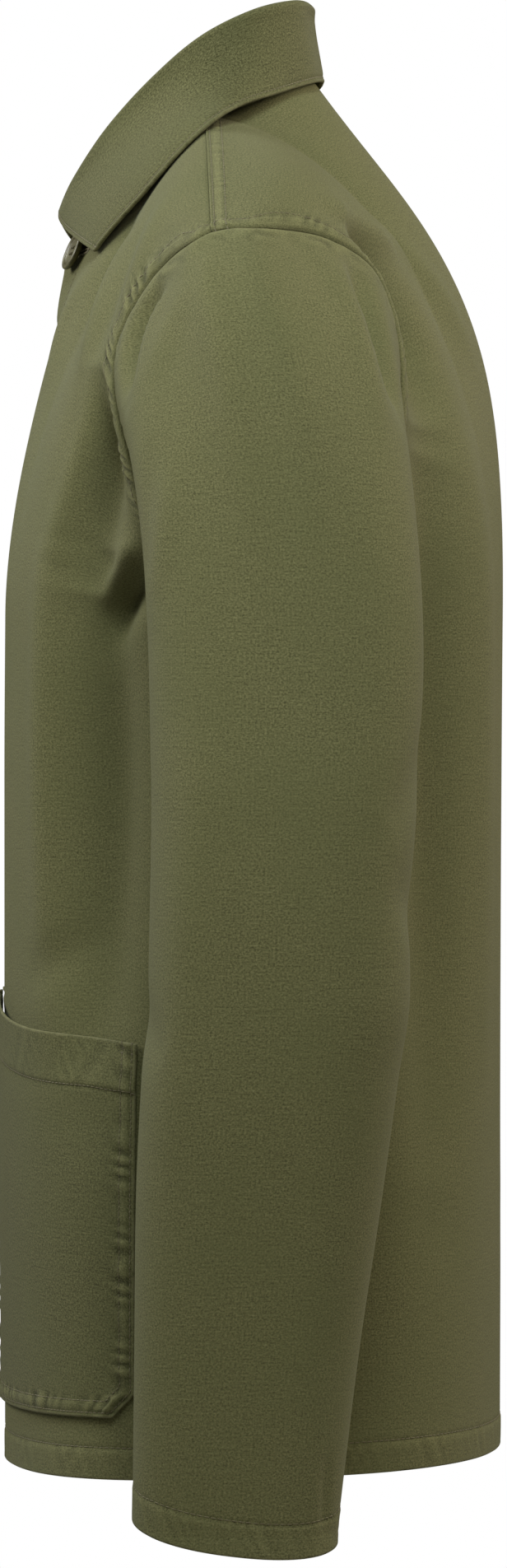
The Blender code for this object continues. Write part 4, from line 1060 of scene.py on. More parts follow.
def collar_half(side):
    """The outer grid of one half, from the stand's foot over the roll line to the outer edge."""
    flip = np.array([side, 1, 1])
    even = evenly(np.linspace(0, 1, 200)[:, None] * np.ones(3), COLLAR_STEPS)[:, 0]
    at = even + COLUMNS_CLOSER * even * (even - 1) * (1 - even) ** 2
    roll, edge = (along_curve(table_curve(table, 400), at) * flip for table in (ROLL, FALL))
    neck_u = side * np.concatenate([np.linspace(COLLAR_START_U, NECK_U, 60), np.linspace(1 - NECK_U, 1, 60)])
    foot = along_curve(evenly(body(neck_u, np.full(120, 2.0)), 400), at)
    along = np.gradient(roll, axis=0)
    along[-1] = (-side, 0, 0)
    outwards = unit(np.cross(along, UP)) * side
    centre = roll - UP * ROLL_RADIUS
    foot = foot + UP * STAND_GAP - outwards * COLLAR_CLOTH
    turned_in = centre - outwards * ROLL_RADIUS
    stand = [foot + (turned_in - foot) * k / STAND_STEPS for k in range(STAND_STEPS)]
    angles = np.linspace(math.pi, 0, ROLL_STEPS + 1)
    over = [centre + ROLL_RADIUS * (outwards * math.cos(a) + UP * math.sin(a)) for a in angles]
    drop = np.linalg.norm(edge - over[-1], axis=1, keepdims=True)
    bulge = FALL_BULGE * (1 - at)[:, None]
    leave_share = POINT_LEAVE + (FALL_LEAVE - POINT_LEAVE) * smooth_step(at / DROP_SHARE)
    leave = over[-1] - UP * drop * leave_share[:, None]
    arrive = edge + (over[-1] - edge) * FALL_ARRIVE + outwards * bulge
    t = stepped(FALL_STOPS, FALL_COUNTS)[1:]
    fall = [bezier(over[-1], leave, arrive, edge, np.full(len(edge), k)) for k in t]
    return np.stack(stand + over + fall)


def collar_cloth(finish):
    """The collar in one piece: stand, roll and fall, with its edge stitched close."""
    grid = np.concatenate([collar_half(1), collar_half(-1)[:, -2::-1]], axis=1)
    out = grid_normals(grid)
    rows = len(grid)
    turn_over = (STAND_STEPS + ROLL_STEPS) / (rows - 1)
    fall = smooth_step((np.arange(rows)[:, None] / (rows - 1) - turn_over) / FALL_START)
    relief = sewn("collar_edge", grid, "bottom")
    for edge in ("left", "right"):
        relief = relief + sewn("collar_end", grid, edge) * fall
    turn = 2 * math.pi * run_along(grid, "bottom")
    waves = np.sin(turn / COLLAR_WAVE["long"] + 1.2) * np.sin(turn / COLLAR_WAVE["longer"] + 0.4)
    relief = relief * np.ones(grid.shape[:2])
    grid = grid + out * (relief + COLLAR_WAVE["high"] * waves * fall)[..., None]
    finer = grid_normals(grid)
    ends = [(edge, COLLAR_ROW, turn_over + 0.06, 0.985) for edge in ("left", "right")]
    sew_rows("collar", grid, finer, [("bottom", COLLAR_ROW, 0.004, 0.996)] + ends)
    grain = (STAND_STEPS + ROLL_STEPS, COLLAR_STEPS)
    return shell("collar", grid, out, COLLAR_CLOTH, finish, relief, grain=grain)


# ---------------- pockets
POCKET_MOUTH = {"share": (0, 0.35, 0.7, 1), "z": (-0.438, -0.449, -0.456, -0.461)}
POCKET_BOTTOM = -0.640
POCKET_CUT = 0.012         # the cut off each lower corner, both ways
POCKET_REST = 0.0005       # between the pocket and the front under it
POCKET_GAPE = 0.0022       # how far the mouth stands out from that
POCKET_WIDTH = 0.190       # over which its fine columns are measured
POCKET_SAG = {"high": 0.0012, "share": 0.40, "wide": 0.34, "down": 0.50, "long": 0.30}   # its belly
MOUTH_BAR = 0.2            # the share of its side within which the bar at the mouth is sewn
CORNER_TURN = math.sqrt(2) - 1   # how a row shortens where it turns at a cut corner
PATH_STEPS = 400
CUT_ROOM = 0.003           # the share of the depth that other rows keep from the start of the cut
BAR_POINT = 3              # the point of both rows of stitches that the bar joins, from the mouth
POCKET_COLUMNS, POCKET_ROWS = (52,), (104,)
POCKET_SIDE = (0, 0.0008, 0.0016, 0.0022, 0.0029, 0.0042, 0.0058, 0.0072, 0.0080, 0.0088, 0.0104)
POCKET_MOUTH_ROWS = (
    0, 0.0010, 0.0024, 0.0050, 0.0100, 0.0150, 0.0200, 0.0224, 0.0232, 0.0238, 0.0244, 0.0254, 0.0280,
)


def height_to_b(z):
    """The b of a height below the underarm."""
    return (z - HEM_FRONT) / (SIDE[2] - HEM_FRONT)


def between(grid, rows, columns, row, column):
    """Values of a grid at places between its rows and columns."""
    at = np.interp(row, rows, np.arange(len(rows)))
    over = np.interp(column, columns, np.arange(len(columns)))
    i = np.minimum(at.astype(int), len(rows) - 2)
    j = np.minimum(over.astype(int), len(columns) - 2)
    s, t = (at - i)[:, None], (over - j)[:, None]
    near = grid[i, j] * (1 - t) + grid[i, j + 1] * t
    far = grid[i + 1, j] * (1 - t) + grid[i + 1, j + 1] * t
    return near * (1 - s) + far * s


def pocket_row(grid, facing, down, share, cut, wide, deep, inset):
    """A row of stitches down one side of a pocket, round its two cut corners and up the other."""
    low, across = deep - POCKET_CUT - CORNER_TURN * inset, POCKET_CUT + CORNER_TURN * inset
    half = [(inset, 0, 0), (inset, low, 0), (across, deep - inset, 0)]
    path = evenly(np.array(half + [(wide - x, y, 0) for x, y, _ in reversed(half)]), PATH_STEPS)
    depth = np.clip(path[:, 1] / deep, 0.002, 1)
    cut_there = np.interp(depth, down, cut)
    along = (path[:, 0] / wide - cut_there) / (1 - 2 * cut_there)
    return between(grid, down, share, depth, along), unit(between(facing, down, share, depth, along))


def mouth_bar(grid, facing, edge):
    """The short bar of stitches between the two rows at a corner of the mouth."""
    rows = [sewn_line(grid, facing, edge, inset, 0, MOUTH_BAR) for inset in POCKET_STITCHES]
    return tuple(np.array([part[BAR_POINT] for part in parts]) for parts in zip(*rows))


def pocket_cloth(side, finish):
    """One patch pocket on its front, with a hemmed mouth and two cut corners."""
    name = "pocket_left" if side > 0 else "pocket_right"
    inner, outer = POCKET_U
    wide = 2 * FRONT_ARC * (outer - inner)
    share = shares((0, 1), POCKET_COLUMNS, POCKET_SIDE, POCKET_SIDE, POCKET_WIDTH)
    mouth = through(share, POCKET_MOUTH["share"], POCKET_MOUTH["z"])
    deep = mouth.mean() - POCKET_BOTTOM
    down = shares((0, 1), POCKET_ROWS, POCKET_MOUTH_ROWS, POCKET_SIDE, deep)
    cut_start = 1 - POCKET_CUT / deep
    down = np.sort(np.append(down[np.abs(down - cut_start) > CUT_ROOM], cut_start))[:, None]
    z = mouth + (POCKET_BOTTOM - mouth) * down
    cut = POCKET_CUT / wide * np.clip((down - cut_start) / (1 - cut_start), 0, 1)
    u = side * (inner + (outer - inner) * (cut + (1 - 2 * cut) * share))
    grid = folded_body(u, height_to_b(z))
    out = grid_normals(grid) * side
    gape = POCKET_GAPE * np.sin(math.pi * share) ** 0.8 * (1 - down) ** 2
    across = line_at(share, POCKET_SAG["share"], POCKET_SAG["wide"])
    sag = POCKET_SAG["high"] * across * line_at(down, POCKET_SAG["down"], POCKET_SAG["long"])
    grid = grid + out * (POCKET_REST + CLOTH + gape + sag)[..., None]
    relief = sewn("pocket_mouth", grid, "top")
    for edge in ("left", "right", "bottom"):
        relief = relief + sewn("pocket_side", grid, edge)
    grid = grid + out * relief[..., None]
    finer = stitch_facing(grid, out, side)
    for inset in POCKET_STITCHES:
        sew(name, pocket_row(grid, finer, down[:, 0], share, cut[:, 0], wide, deep, inset))
    sew(name, sewn_line(grid, finer, "top", POCKET_HEM, 0.012, 0.988))
    for edge in ("left", "right"):
        sew(name, mouth_bar(grid, finer, edge))
    return shell(name, grid, out, CLOTH, finish, relief, side, grain=(0, len(share) // 2))


# ---------------- buttons
BUTTON_RADIUS, BUTTON_THICK = 0.0102, 0.0032
BUTTON_RIM, BUTTON_DISH = 0.0022, 0.0007
BUTTON_BEAD = 0.0009       # the radius of its rounded rim
BEAD_TURN, BEAD_STEPS = (-0.4, 1.9), 9   # where the rim's round profile starts and ends, in radians
DISH_SLOPE = 0.0012        # how wide the slope down into its dish is
DISH_STEPS = 6
DISH_START, DISH_FLOOR = 0.0001, 0.0002   # how much further down the slope and the floor lie
DISH_FLAT = 0.35           # of the radius, the flat middle of the dish
SHARP_FROM = math.radians(48)   # the turn between faces from which an edge looks sharp
BUTTON_FOOT = ((0.0022, 0), (0.0010, 0.0004), (0.0003, 0.0010))   # in from the rim, and up
HOLE_RADIUS, HOLE_FROM_MIDDLE = 0.0010, 0.0024
BUTTON_SIDES, HOLE_SIDES = 72, 20
BUTTON_HEIGHTS = (-0.0666, -0.197, -0.327, -0.457, -0.587)
BUTTON_REST = 0.0014
TOP_BUTTON_TURN = math.radians(17)   # the top button faces the wearer's left
TOP_BUTTON_LEAN = 0.40     # and up
THREAD = 0.00038           # how thick it is
THREAD_SPREAD = 0.45       # of two strands side by side, in thicknesses of thread
THREAD_PLY = 1.1           # how much thicker a strand is in the button
THREAD_PAST, THREAD_ARCH = 0.0003, 0.0005   # how far a strand passes the holes and stands out
THREAD_SINK = 0.0016       # and how deep its ends go down into them
SHANK_RADIUS, SHANK_SIDES = 0.0013, 14
SHANK_HEIGHTS = (0.0002 - BUTTON_REST, -0.0004, 0.0006)   # from the cloth up into the button
BUTTONHOLE = 0.0225        # its length, across the front
HOLE_MIDDLE = 0.0045       # how far its middle lies towards the left from the buttons' line
HOLE_HALF_HIGH = 0.0011
HOLE_EDGE_THREAD, HOLE_EDGE_LIFT = 0.00055, 0.0003   # the radius of its worked edge, and its lift
HOLE_STEPS, HOLE_EDGE_SIDES = 60, 6
B_TRIED = 0.01             # the step of b that is measured, to turn metres into b


def turned(profile, sides):
    """A profile of (radius, height) turned about Z, from one end on the axis to the other."""
    angles = 2 * math.pi * np.arange(sides) / sides
    rings = [np.stack([r * np.cos(angles), r * np.sin(angles), 0 * angles + h], 1) for r, h in profile[1:-1]]
    vertices = np.vstack([[(0, 0, profile[0][1])]] + rings + [[(0, 0, profile[-1][1])]])
    last = len(vertices) - 1
    faces = []
    for j in range(sides):
        k = (j + 1) % sides
        faces.append([0, 1 + k, 1 + j])
        faces.append([last, last - sides + j, last - sides + k])
        for ring in range(len(rings) - 1):
            a, b = 1 + ring * sides, 1 + (ring + 1) * sides
            faces.append([a + j, a + k, b + k, b + j])
    return vertices, faces


def middle_b(height):
    """The b of a height down the middle of the front."""
    b = np.linspace(0, 2, 400)
    return np.interp(height, body(np.zeros(400), b)[:, 2], b)


def button_frame(height):
    """Where a button lies on the front: its place, the way it faces, and the way across it."""
    at = np.zeros(1), np.array([middle_b(height)])
    place, out = body(*at)[0], body_normal(*at)[0]
    if height == BUTTON_HEIGHTS[0]:
        out = np.array([math.sin(TOP_BUTTON_TURN), -math.cos(TOP_BUTTON_TURN), TOP_BUTTON_LEAN])
    out = Vector(unit(out))
    turn = out.to_track_quat("Z", "Y").to_matrix().to_4x4()
    turn.translation = Vector(place) + out * BUTTON_REST
    return turn


def button_piece(name, height, finish):
    """A four-hole button with a rounded rim and a dished middle."""
    r, t = BUTTON_RADIUS, BUTTON_THICK
    profile = [(0, 0)] + [(r - inset, high) for inset, high in BUTTON_FOOT]
    for angle in np.linspace(*BEAD_TURN, BEAD_STEPS):
        profile.append((r + BUTTON_BEAD * (math.cos(angle) - 1), t + BUTTON_BEAD * (math.sin(angle) - 1)))
    for k in np.linspace(0, 1, DISH_STEPS):
        profile.append((r - BUTTON_RIM - DISH_SLOPE * k, t - BUTTON_DISH * smooth_step(k) - DISH_START))
    profile += [(r * DISH_FLAT, t - BUTTON_DISH - DISH_FLOOR), (0, t - BUTTON_DISH - DISH_FLOOR)]
    made = mesh_piece(name, *turned(profile, BUTTON_SIDES), finish)
    drill = [(0, -t), (HOLE_RADIUS, -t), (HOLE_RADIUS, 2 * t), (0, 2 * t)]
    cutters = []
    for quarter in range(4):
        angle = math.radians(45 + 90 * quarter)
        vertices, faces = turned(drill, HOLE_SIDES)
        vertices = vertices + HOLE_FROM_MIDDLE * np.array([math.cos(angle), math.sin(angle), 0])
        cutters.append(mesh_piece(f"{name}_hole_{quarter}", vertices, faces, finish))
        cut = made.modifiers.new(f"hole_{quarter}", "BOOLEAN")
        cut.operation, cut.solver, cut.object = "DIFFERENCE", "EXACT", cutters[-1]
    made.data = evaluated_mesh(made)
    made.modifiers.clear()
    for cutter in cutters:
        bpy.data.objects.remove(cutter)
    made.data.shade_smooth()
    made.data.set_sharp_from_angle(angle=SHARP_FROM)
    made.data.transform(button_frame(height))
    return made


def evaluated_mesh(piece):
    """The mesh of a piece with its modifiers worked out."""
    graph = bpy.context.evaluated_depsgraph_get()
    return bpy.data.meshes.new_from_object(piece.evaluated_get(graph), depsgraph=graph)


NO_TUBE_WAY = (0.31, 0.17, 0.94)   # a direction that none of the tubes runs in


def tube_along(path, radius, sides=8):
    """Vertices and faces of a closed tube along an open path."""
    path = np.asarray(path, float)
    along = unit(np.gradient(path, axis=0))
    aside = unit(np.cross(along, NO_TUBE_WAY))
    over = np.cross(along, aside)
    angles = 2 * math.pi * np.arange(sides) / sides
    rings = path[:, None] + radius * (
        aside[:, None] * np.cos(angles)[None, :, None] + over[:, None] * np.sin(angles)[None, :, None]
    )
    vertices = np.vstack([rings.reshape(-1, 3), path[:1], path[-1:]])
    first, last = len(vertices) - 2, len(vertices) - 1
    faces = []
    for j in range(sides):
        k = (j + 1) % sides
        for i in range(len(path) - 1):
            a, b = i * sides, (i + 1) * sides
            faces.append([a + j, a + k, b + k, b + j])
        faces.append([first, k, j])
        faces.append([last, last - 1 - sides + j, last - 1 - sides + k])
    return vertices, faces


def button_thread(number, height, finish):
    """Two bars of thread through the four holes, and the shank of thread under the button."""
    top = BUTTON_THICK - BUTTON_DISH
    side = HOLE_FROM_MIDDLE * math.sqrt(0.5)
    bend = np.linspace(-1, 1, 13)
    tubes = []
    for row_side in (-1, 1):
        for strand in (-THREAD_SPREAD, THREAD_SPREAD):
            y = row_side * side + strand * THREAD
            z = top + THREAD_ARCH - THREAD_SINK * np.abs(bend) ** 4
            path = np.stack([bend * (side + THREAD_PAST), 0 * bend + y, z], 1)
            tubes.append(tube_along(path, THREAD / 2 * THREAD_PLY))
    shank = [(0, 0, height_up) for height_up in SHANK_HEIGHTS]
    tubes.append(tube_along(shank, SHANK_RADIUS, SHANK_SIDES))
    vertices, faces = np.zeros((0, 3)), []
    for more, more_faces in tubes:
        faces += [[k + len(vertices) for k in face] for face in more_faces]
        vertices = np.vstack([vertices, more])
    made = mesh_piece(f"button_thread_{number}", vertices, faces, finish)
    made.data.transform(button_frame(height))
    return made


# ---------------- nodes
def node(tree, kind, place, **settings):
    """A new node of a tree, at its place in the editor."""
    made = tree.nodes.new(kind)
    made.location = place
    for key, value in settings.items():
        setattr(made, key, value)
    return made


def group(name, inputs, outputs, tree_kind="ShaderNodeTree"):
    """An empty group of nodes with named sockets, and its input and output nodes."""
    made = bpy.data.node_groups.new(name, tree_kind)
    for label, kind, value in inputs:
        socket = made.interface.new_socket(label, in_out="INPUT", socket_type=kind)
        if value is not None:
            socket.default_value = value
    for label, kind in outputs:
        made.interface.new_socket(label, in_out="OUTPUT", socket_type=kind)
    return made, node(made, "NodeGroupInput", (-1400, 0)), node(made, "NodeGroupOutput", (900, 0))


class Wires:
    """Adds nodes to a tree, with their inputs linked or set."""

    def __init__(self, tree):
        self.tree, self.count = tree, 0

    def add(self, kind, values=(), **settings):
        """A new node. values are for its inputs, in their order, or by name or number."""
        place = (-1200 + 180 * (self.count % 11), 400 - 170 * (self.count // 11))
        made = node(self.tree, kind, place, **settings)
        self.count += 1
        for socket, value in values.items() if isinstance(values, dict) else enumerate(values):
            self.put(made.inputs[socket], value)
        return made

    def put(self, socket, value):
        """Links another node's socket to this one, or sets its value."""
        if isinstance(value, bpy.types.NodeSocket):
            self.tree.links.new(value, socket)
        elif value is not None:
            socket.default_value = value

    def math(self, operation, *values, clamp=False):
        return self.add("ShaderNodeMath", values, operation=operation, use_clamp=clamp).outputs[0]

    def mix(self, share, first, second):
        """A mix of two colours: sockets 6 and 7 of the node are its colours, and output 2 its result."""
        values = {"Factor": share, 6: first, 7: second}
        return self.add("ShaderNodeMix", values, data_type="RGBA").outputs[2]

    def noise(self, vector, scale, detail=2.0, rough=0.5):
        values = {"Vector": vector, "Scale": scale, "Detail": detail, "Roughness": rough}
        return self.add("ShaderNodeTexNoise", values, noise_dimensions="3D").outputs["Fac"]

    def stretch(self, vector, across, down, deep=1.0):
        """A place scaled along each axis."""
        values = (vector, (across, down, deep))
        return self.add("ShaderNodeVectorMath", values, operation="MULTIPLY").outputs[0]

    def step(self, value, low, high):
        """0 below low, 1 above high and smooth between."""
        values = {"Value": value, "From Min": low, "From Max": high}
        return self.add("ShaderNodeMapRange", values, interpolation_type="SMOOTHSTEP").outputs["Result"]

    def bump(self, height, strength, distance):
        values = {"Strength": strength, "Distance": distance, "Height": height}
        return self.add("ShaderNodeBump", values).outputs["Normal"]


# ---------------- stitches
STITCH_INPUTS = (
    ("Sewn lines", "NodeSocketGeometry", None), ("Stitch spacing", "NodeSocketFloat", 0.0033),
    ("Stitch length", "NodeSocketFloat", 0.0026), ("Thread radius", "NodeSocketFloat", 0.00024),
    ("Sunk ends", "NodeSocketFloat", 0.00030), ("Unevenness", "NodeSocketFloat", 0.10),
    ("Seed", "NodeSocketInt", 3), ("Thread", "NodeSocketMaterial", None),
)
STITCH_BENDS, STITCH_SIDES = 6, 6


def stitch_tree():
    """Lays short stitches of thread along the edges of a mesh, standing on its 'facing' attribute."""
    tree, given, given_out = group(
        "rows of stitches", STITCH_INPUTS, (("Stitches", "NodeSocketGeometry"),), "GeometryNodeTree"
    )
    wires, given = Wires(tree), given.outputs
    curve = wires.add("GeometryNodeMeshToCurve", {"Mesh": given["Sewn lines"]}).outputs["Curve"]
    spaced = wires.add(
        "GeometryNodeResampleCurve", {"Curve": curve, "Length": given["Stitch spacing"]}, mode="LENGTH"
    )
    facing = wires.add("GeometryNodeInputNamedAttribute", {"Name": "facing"}, data_type="FLOAT_VECTOR")
    tangent = wires.add("GeometryNodeInputTangent").outputs["Tangent"]
    ways = {"Primary Axis": facing.outputs["Attribute"], "Secondary Axis": tangent}
    turn = wires.add("FunctionNodeAxesToRotation", ways, primary_axis="Z", secondary_axis="X")
    ahead = wires.math("MULTIPLY", given["Stitch length"], 0.5)
    behind = wires.math("MULTIPLY", given["Stitch length"], -0.5)
    sunk = wires.math("MULTIPLY", given["Sunk ends"], -1.0)
    bow = {
        "Start": wires.add("ShaderNodeCombineXYZ", {"X": behind, "Z": sunk}).outputs[0],
        "Middle": wires.add("ShaderNodeCombineXYZ", {"Z": given["Thread radius"]}).outputs[0],
        "End": wires.add("ShaderNodeCombineXYZ", {"X": ahead, "Z": sunk}).outputs[0],
        "Resolution": STITCH_BENDS,
    }
    bow = wires.add("GeometryNodeCurveQuadraticBezier", bow).outputs["Curve"]
    section = {"Resolution": STITCH_SIDES, "Radius": given["Thread radius"]}
    section = wires.add("GeometryNodeCurvePrimitiveCircle", section, mode="RADIUS").outputs["Curve"]
    stitch = {"Curve": bow, "Profile Curve": section, "Fill Caps": True}
    stitch = wires.add("GeometryNodeCurveToMesh", stitch).outputs["Mesh"]
    least = wires.math("SUBTRACT", 1.0, given["Unevenness"])
    most = wires.math("ADD", given["Unevenness"], 1.0)
    # Sockets 2 and 3 are the least and the most of a plain number, and output 1 is that number.
    size = wires.add("FunctionNodeRandomValue", {2: least, 3: most, "Seed": given["Seed"]}, data_type="FLOAT")
    laid = wires.add("GeometryNodeInstanceOnPoints", {
        "Points": spaced.outputs["Curve"], "Instance": stitch,
        "Rotation": turn.outputs["Rotation"], "Scale": size.outputs[1],
    })
    real = wires.add("GeometryNodeRealizeInstances", {"Geometry": laid.outputs["Instances"]})
    dressed = {"Geometry": real.outputs["Geometry"], "Material": given["Thread"]}
    dressed = wires.add("GeometryNodeSetMaterial", dressed).outputs["Geometry"]
    tree.links.new(dressed, given_out.inputs["Stitches"])
    return tree


STITCH_LIFT = 0.00012      # of a row of stitches above the cloth
FINELY_SEWN = ("pocket_left", "pocket_right", "collar")
FINE_STITCH = {"Stitch spacing": 0.0027, "Stitch length": 0.0021}
FIRST_SEED = 3


def stitched(name, tree, thread):
    """The stitches of one piece of cloth, as a plain mesh."""
    vertices, edges, facings = [], [], []
    for line, facing in ROWS_OF_STITCHES[name]:
        start = len(vertices)
        vertices += [tuple(point) for point in line + facing * STITCH_LIFT]
        facings += [tuple(way) for way in facing]
        edges += [(start + k, start + k + 1) for k in range(len(line) - 1)]
    mesh = bpy.data.meshes.new(f"sewn_lines_{name}")
    mesh.from_pydata(vertices, edges, [])
    mesh.attributes.new("facing", "FLOAT_VECTOR", "POINT").data.foreach_set("vector", np.ravel(facings))
    made = bpy.data.objects.new(f"stitches_{name}", mesh)
    bpy.context.collection.objects.link(made)
    laid = made.modifiers.new("stitches", "NODES")
    laid.node_group = tree
    own = {"Thread": thread, "Seed": FIRST_SEED + len(name)}
    if name in FINELY_SEWN:
        own |= FINE_STITCH
    for item in tree.interface.items_tree:
        if item.item_type == "SOCKET" and item.in_out == "INPUT" and item.name in own:
            laid[item.identifier] = own[item.name]
    made.data = evaluated_mesh(made)
    made.modifiers.clear()
    made.data.shade_smooth()
    return made


def buttonhole(number, height, thread):
    """A worked buttonhole across the left front, behind its button."""
    at_b = middle_b(height)
    ring = np.linspace(0, 2 * math.pi, HOLE_STEPS)
    u = 0.5 * (HOLE_MIDDLE + 0.5 * BUTTONHOLE * np.cos(ring)) / FRONT_ARC
    upper, lower = body(np.zeros(2), np.array([at_b, at_b - B_TRIED]))
    b_metre = B_TRIED / np.linalg.norm(upper - lower)
    b = at_b + HOLE_HALF_HIGH * np.sign(np.sin(ring)) * np.abs(np.sin(ring)) ** 0.5 * b_metre
    path = folded_body(u, b) + body_normal(u, b) * HOLE_EDGE_LIFT
    outer, outer_faces = tube_along(path, HOLE_EDGE_THREAD, HOLE_EDGE_SIDES)
    return mesh_piece(f"buttonhole_{number}", outer, outer_faces, thread)


# ---------------- finishes
def colour_of(red, green, blue):
    """A colour as a screen shows it, 0 to 255, in linear light."""
    linear = [c / 255 / 12.92 if c <= 10 else ((c / 255 + 0.055) / 1.055) ** 2.4 for c in (red, green, blue)]
    return (*linear, 1.0)


CANVAS_DARK = colour_of(60, 59, 31)
CANVAS_LIGHT = colour_of(132, 130, 87)
OLIVE_SUN = colour_of(116, 113, 80)       # where edges have rubbed lighter
CANVAS_GREEN = colour_of(96, 98, 60)      # cloudy dye
THREAD_DARK, THREAD_LIGHT = colour_of(80, 74, 47), colour_of(118, 110, 75)
THREAD_OLIVE = colour_of(112, 101, 66)
BUTTON_DARK, BUTTON_LIGHT = colour_of(86, 80, 52), colour_of(120, 116, 84)
PAINTED_HOLLOW_SHADE = 0.42         # how much painted shade darkens the cloth where puckers and stitches sink, and how much painted light lightens it where the cloth stands up
CLOUDED = 0.30             # how much of the cloudy dye shows
YARN = 0.00046             # between neighbouring yarns
# How often the yarns' unevenness changes in a metre along the weft and down the warp.
SLUBS, WARP_SLUBS, FLECKS = (62.0, 1250.0), (1500.0, 90.0), (900.0, 1050.0)
DYE_CLOUDS = 14.0          # and the cloudy dye
FLECK_GAIN, FLECK_SHIFT = 2.1, -0.55   # how strongly the flecks show, and the tone that they start from
WEAVE_BUMP = (0.55, 0.00022)   # strength and height of the weave


def canvas_weave():
    """Plain canvas: yarns over and under, slubs along the weft, and a heathered tone."""
    made, given, given_out = group(
        "canvas weave",
        (("Cloth place", "NodeSocketVector", None), ("Yarn", "NodeSocketFloat", YARN),
         ("Slub", "NodeSocketFloat", 1.0)),
        (("Height", "NodeSocketFloat"), ("Tone", "NodeSocketFloat"), ("Cloud", "NodeSocketFloat")),
    )
    wires = Wires(made)
    place = given.outputs["Cloth place"]
    parts = wires.add("ShaderNodeSeparateXYZ", (place,))
    weft = wires.math("DIVIDE", parts.outputs["Y"], given.outputs["Yarn"])
    warp = wires.math("DIVIDE", parts.outputs["X"], given.outputs["Yarn"])
    shifted = wires.math("ADD", warp, wires.math("MULTIPLY", wires.math("FLOOR", weft), 0.5))
    over = wires.math("COSINE", wires.math("MULTIPLY", shifted, 2 * math.pi))
    rib = wires.math("COSINE", wires.math("MULTIPLY", weft, 2 * math.pi))
    yarns = wires.math("MULTIPLY", wires.math("MULTIPLY_ADD", rib, -0.5, 0.5),
                       wires.math("MULTIPLY_ADD", over, 0.35, 0.65))
    slub = wires.noise(wires.stretch(place, *SLUBS), 1.0, 2.0, 0.6)
    warp_slub = wires.noise(wires.stretch(place, *WARP_SLUBS), 1.0, 1.0, 0.5)
    fleck = wires.noise(wires.stretch(place, *FLECKS), 1.0, 2.0, 0.80)
    cloud = wires.noise(place, DYE_CLOUDS, 3.0, 0.55)
    slub_share = wires.math("MULTIPLY", wires.math("SUBTRACT", slub, 0.5), given.outputs["Slub"])
    height = wires.math("ADD", wires.math("MULTIPLY", yarns, 0.6), wires.math("MULTIPLY", slub_share, 0.9))
    tone = wires.math("ADD", wires.math("MULTIPLY", slub_share, 0.35),
                      wires.math("MULTIPLY_ADD", fleck, FLECK_GAIN, FLECK_SHIFT))
    tone = wires.math("ADD", tone, wires.math("MULTIPLY_ADD", warp_slub, 0.16, -0.08))
    for label, value in (("Height", height), ("Tone", tone), ("Cloud", cloud)):
        made.links.new(value, given_out.inputs[label])
    return made


def rubbed_edge():
    """Where rims of cloth have rubbed lighter: 1 on the rim itself, broken up, 0 inside."""
    made, given, given_out = group(
        "rubbed edge",
        (("Rim", "NodeSocketFloat", 1.0), ("Width", "NodeSocketFloat", 0.0012),
         ("Place", "NodeSocketVector", None)),
        (("Wear", "NodeSocketFloat"),),
    )
    wires = Wires(made)
    inwards = wires.math("DIVIDE", given.outputs["Rim"], given.outputs["Width"])
    near = wires.math("SUBTRACT", 1.0, inwards, clamp=True)
    patchy = wires.step(wires.noise(given.outputs["Place"], 130.0, 3.0, 0.6), 0.30, 0.68)
    made.links.new(wires.math("MULTIPLY", near, patchy), given_out.inputs["Wear"])
    return made


def finish_of(name):
    """A new material, the wires for its nodes, and the inputs of its shader."""
    made = bpy.data.materials.new(name)
    made.use_nodes = True
    return made, Wires(made.node_tree), made.node_tree.nodes["Principled BSDF"].inputs


def canvas(name, weave, rubbed, wear, deep=0.0):
    """Olive canvas: wear is how light its edges have rubbed, and deep how much darker the whole piece is
    made, which on the pockets is painted shade.
    """
    made, wires, shader = finish_of(name)
    place = wires.add("ShaderNodeUVMap", (), uv_map="UVMap").outputs["UV"]
    woven = wires.add("ShaderNodeGroup", (), node_tree=weave)
    wires.put(woven.inputs["Cloth place"], place)
    woven = woven.outputs
    rim = wires.add("ShaderNodeAttribute", (), attribute_name="rim").outputs["Fac"]
    rub = wires.add("ShaderNodeGroup", (), node_tree=rubbed)
    wires.put(rub.inputs["Rim"], rim)
    wires.put(rub.inputs["Place"], place)
    # Painted shade from the 'hollow' value: darker in the hollows of puckers and stitch grooves, lighter on
    # their crests.
    sunk = wires.add("ShaderNodeAttribute", (), attribute_name="hollow").outputs["Fac"]
    share = wires.math("SUBTRACT", wires.math("MULTIPLY_ADD", sunk, -PAINTED_HOLLOW_SHADE, woven["Tone"]), deep)
    clouds = wires.math("MULTIPLY", wires.step(woven["Cloud"], 0.35, 0.7), CLOUDED)
    clouded = wires.mix(clouds, wires.mix(share, CANVAS_DARK, CANVAS_LIGHT), CANVAS_GREEN)
    worn = wires.mix(wires.math("MULTIPLY", rub.outputs["Wear"], wear), clouded, OLIVE_SUN)
    settings = {
        "Base Color": worn,
        "Roughness": wires.math("MULTIPLY_ADD", woven["Tone"], -0.10, 0.90),
        "Normal": wires.bump(woven["Height"], *WEAVE_BUMP),
        "Sheen Weight": 0.10, "Sheen Roughness": 0.45, "Sheen Tint": (0.80, 0.84, 0.72, 1),
        "Specular IOR Level": 0.25,
    }
    return settle(made, wires, shader, settings)


def settle(made, wires, shader, settings):
    """Links or sets the named inputs of a material's shader."""
    for label, value in settings.items():
        wires.put(shader[label], value)
    return made


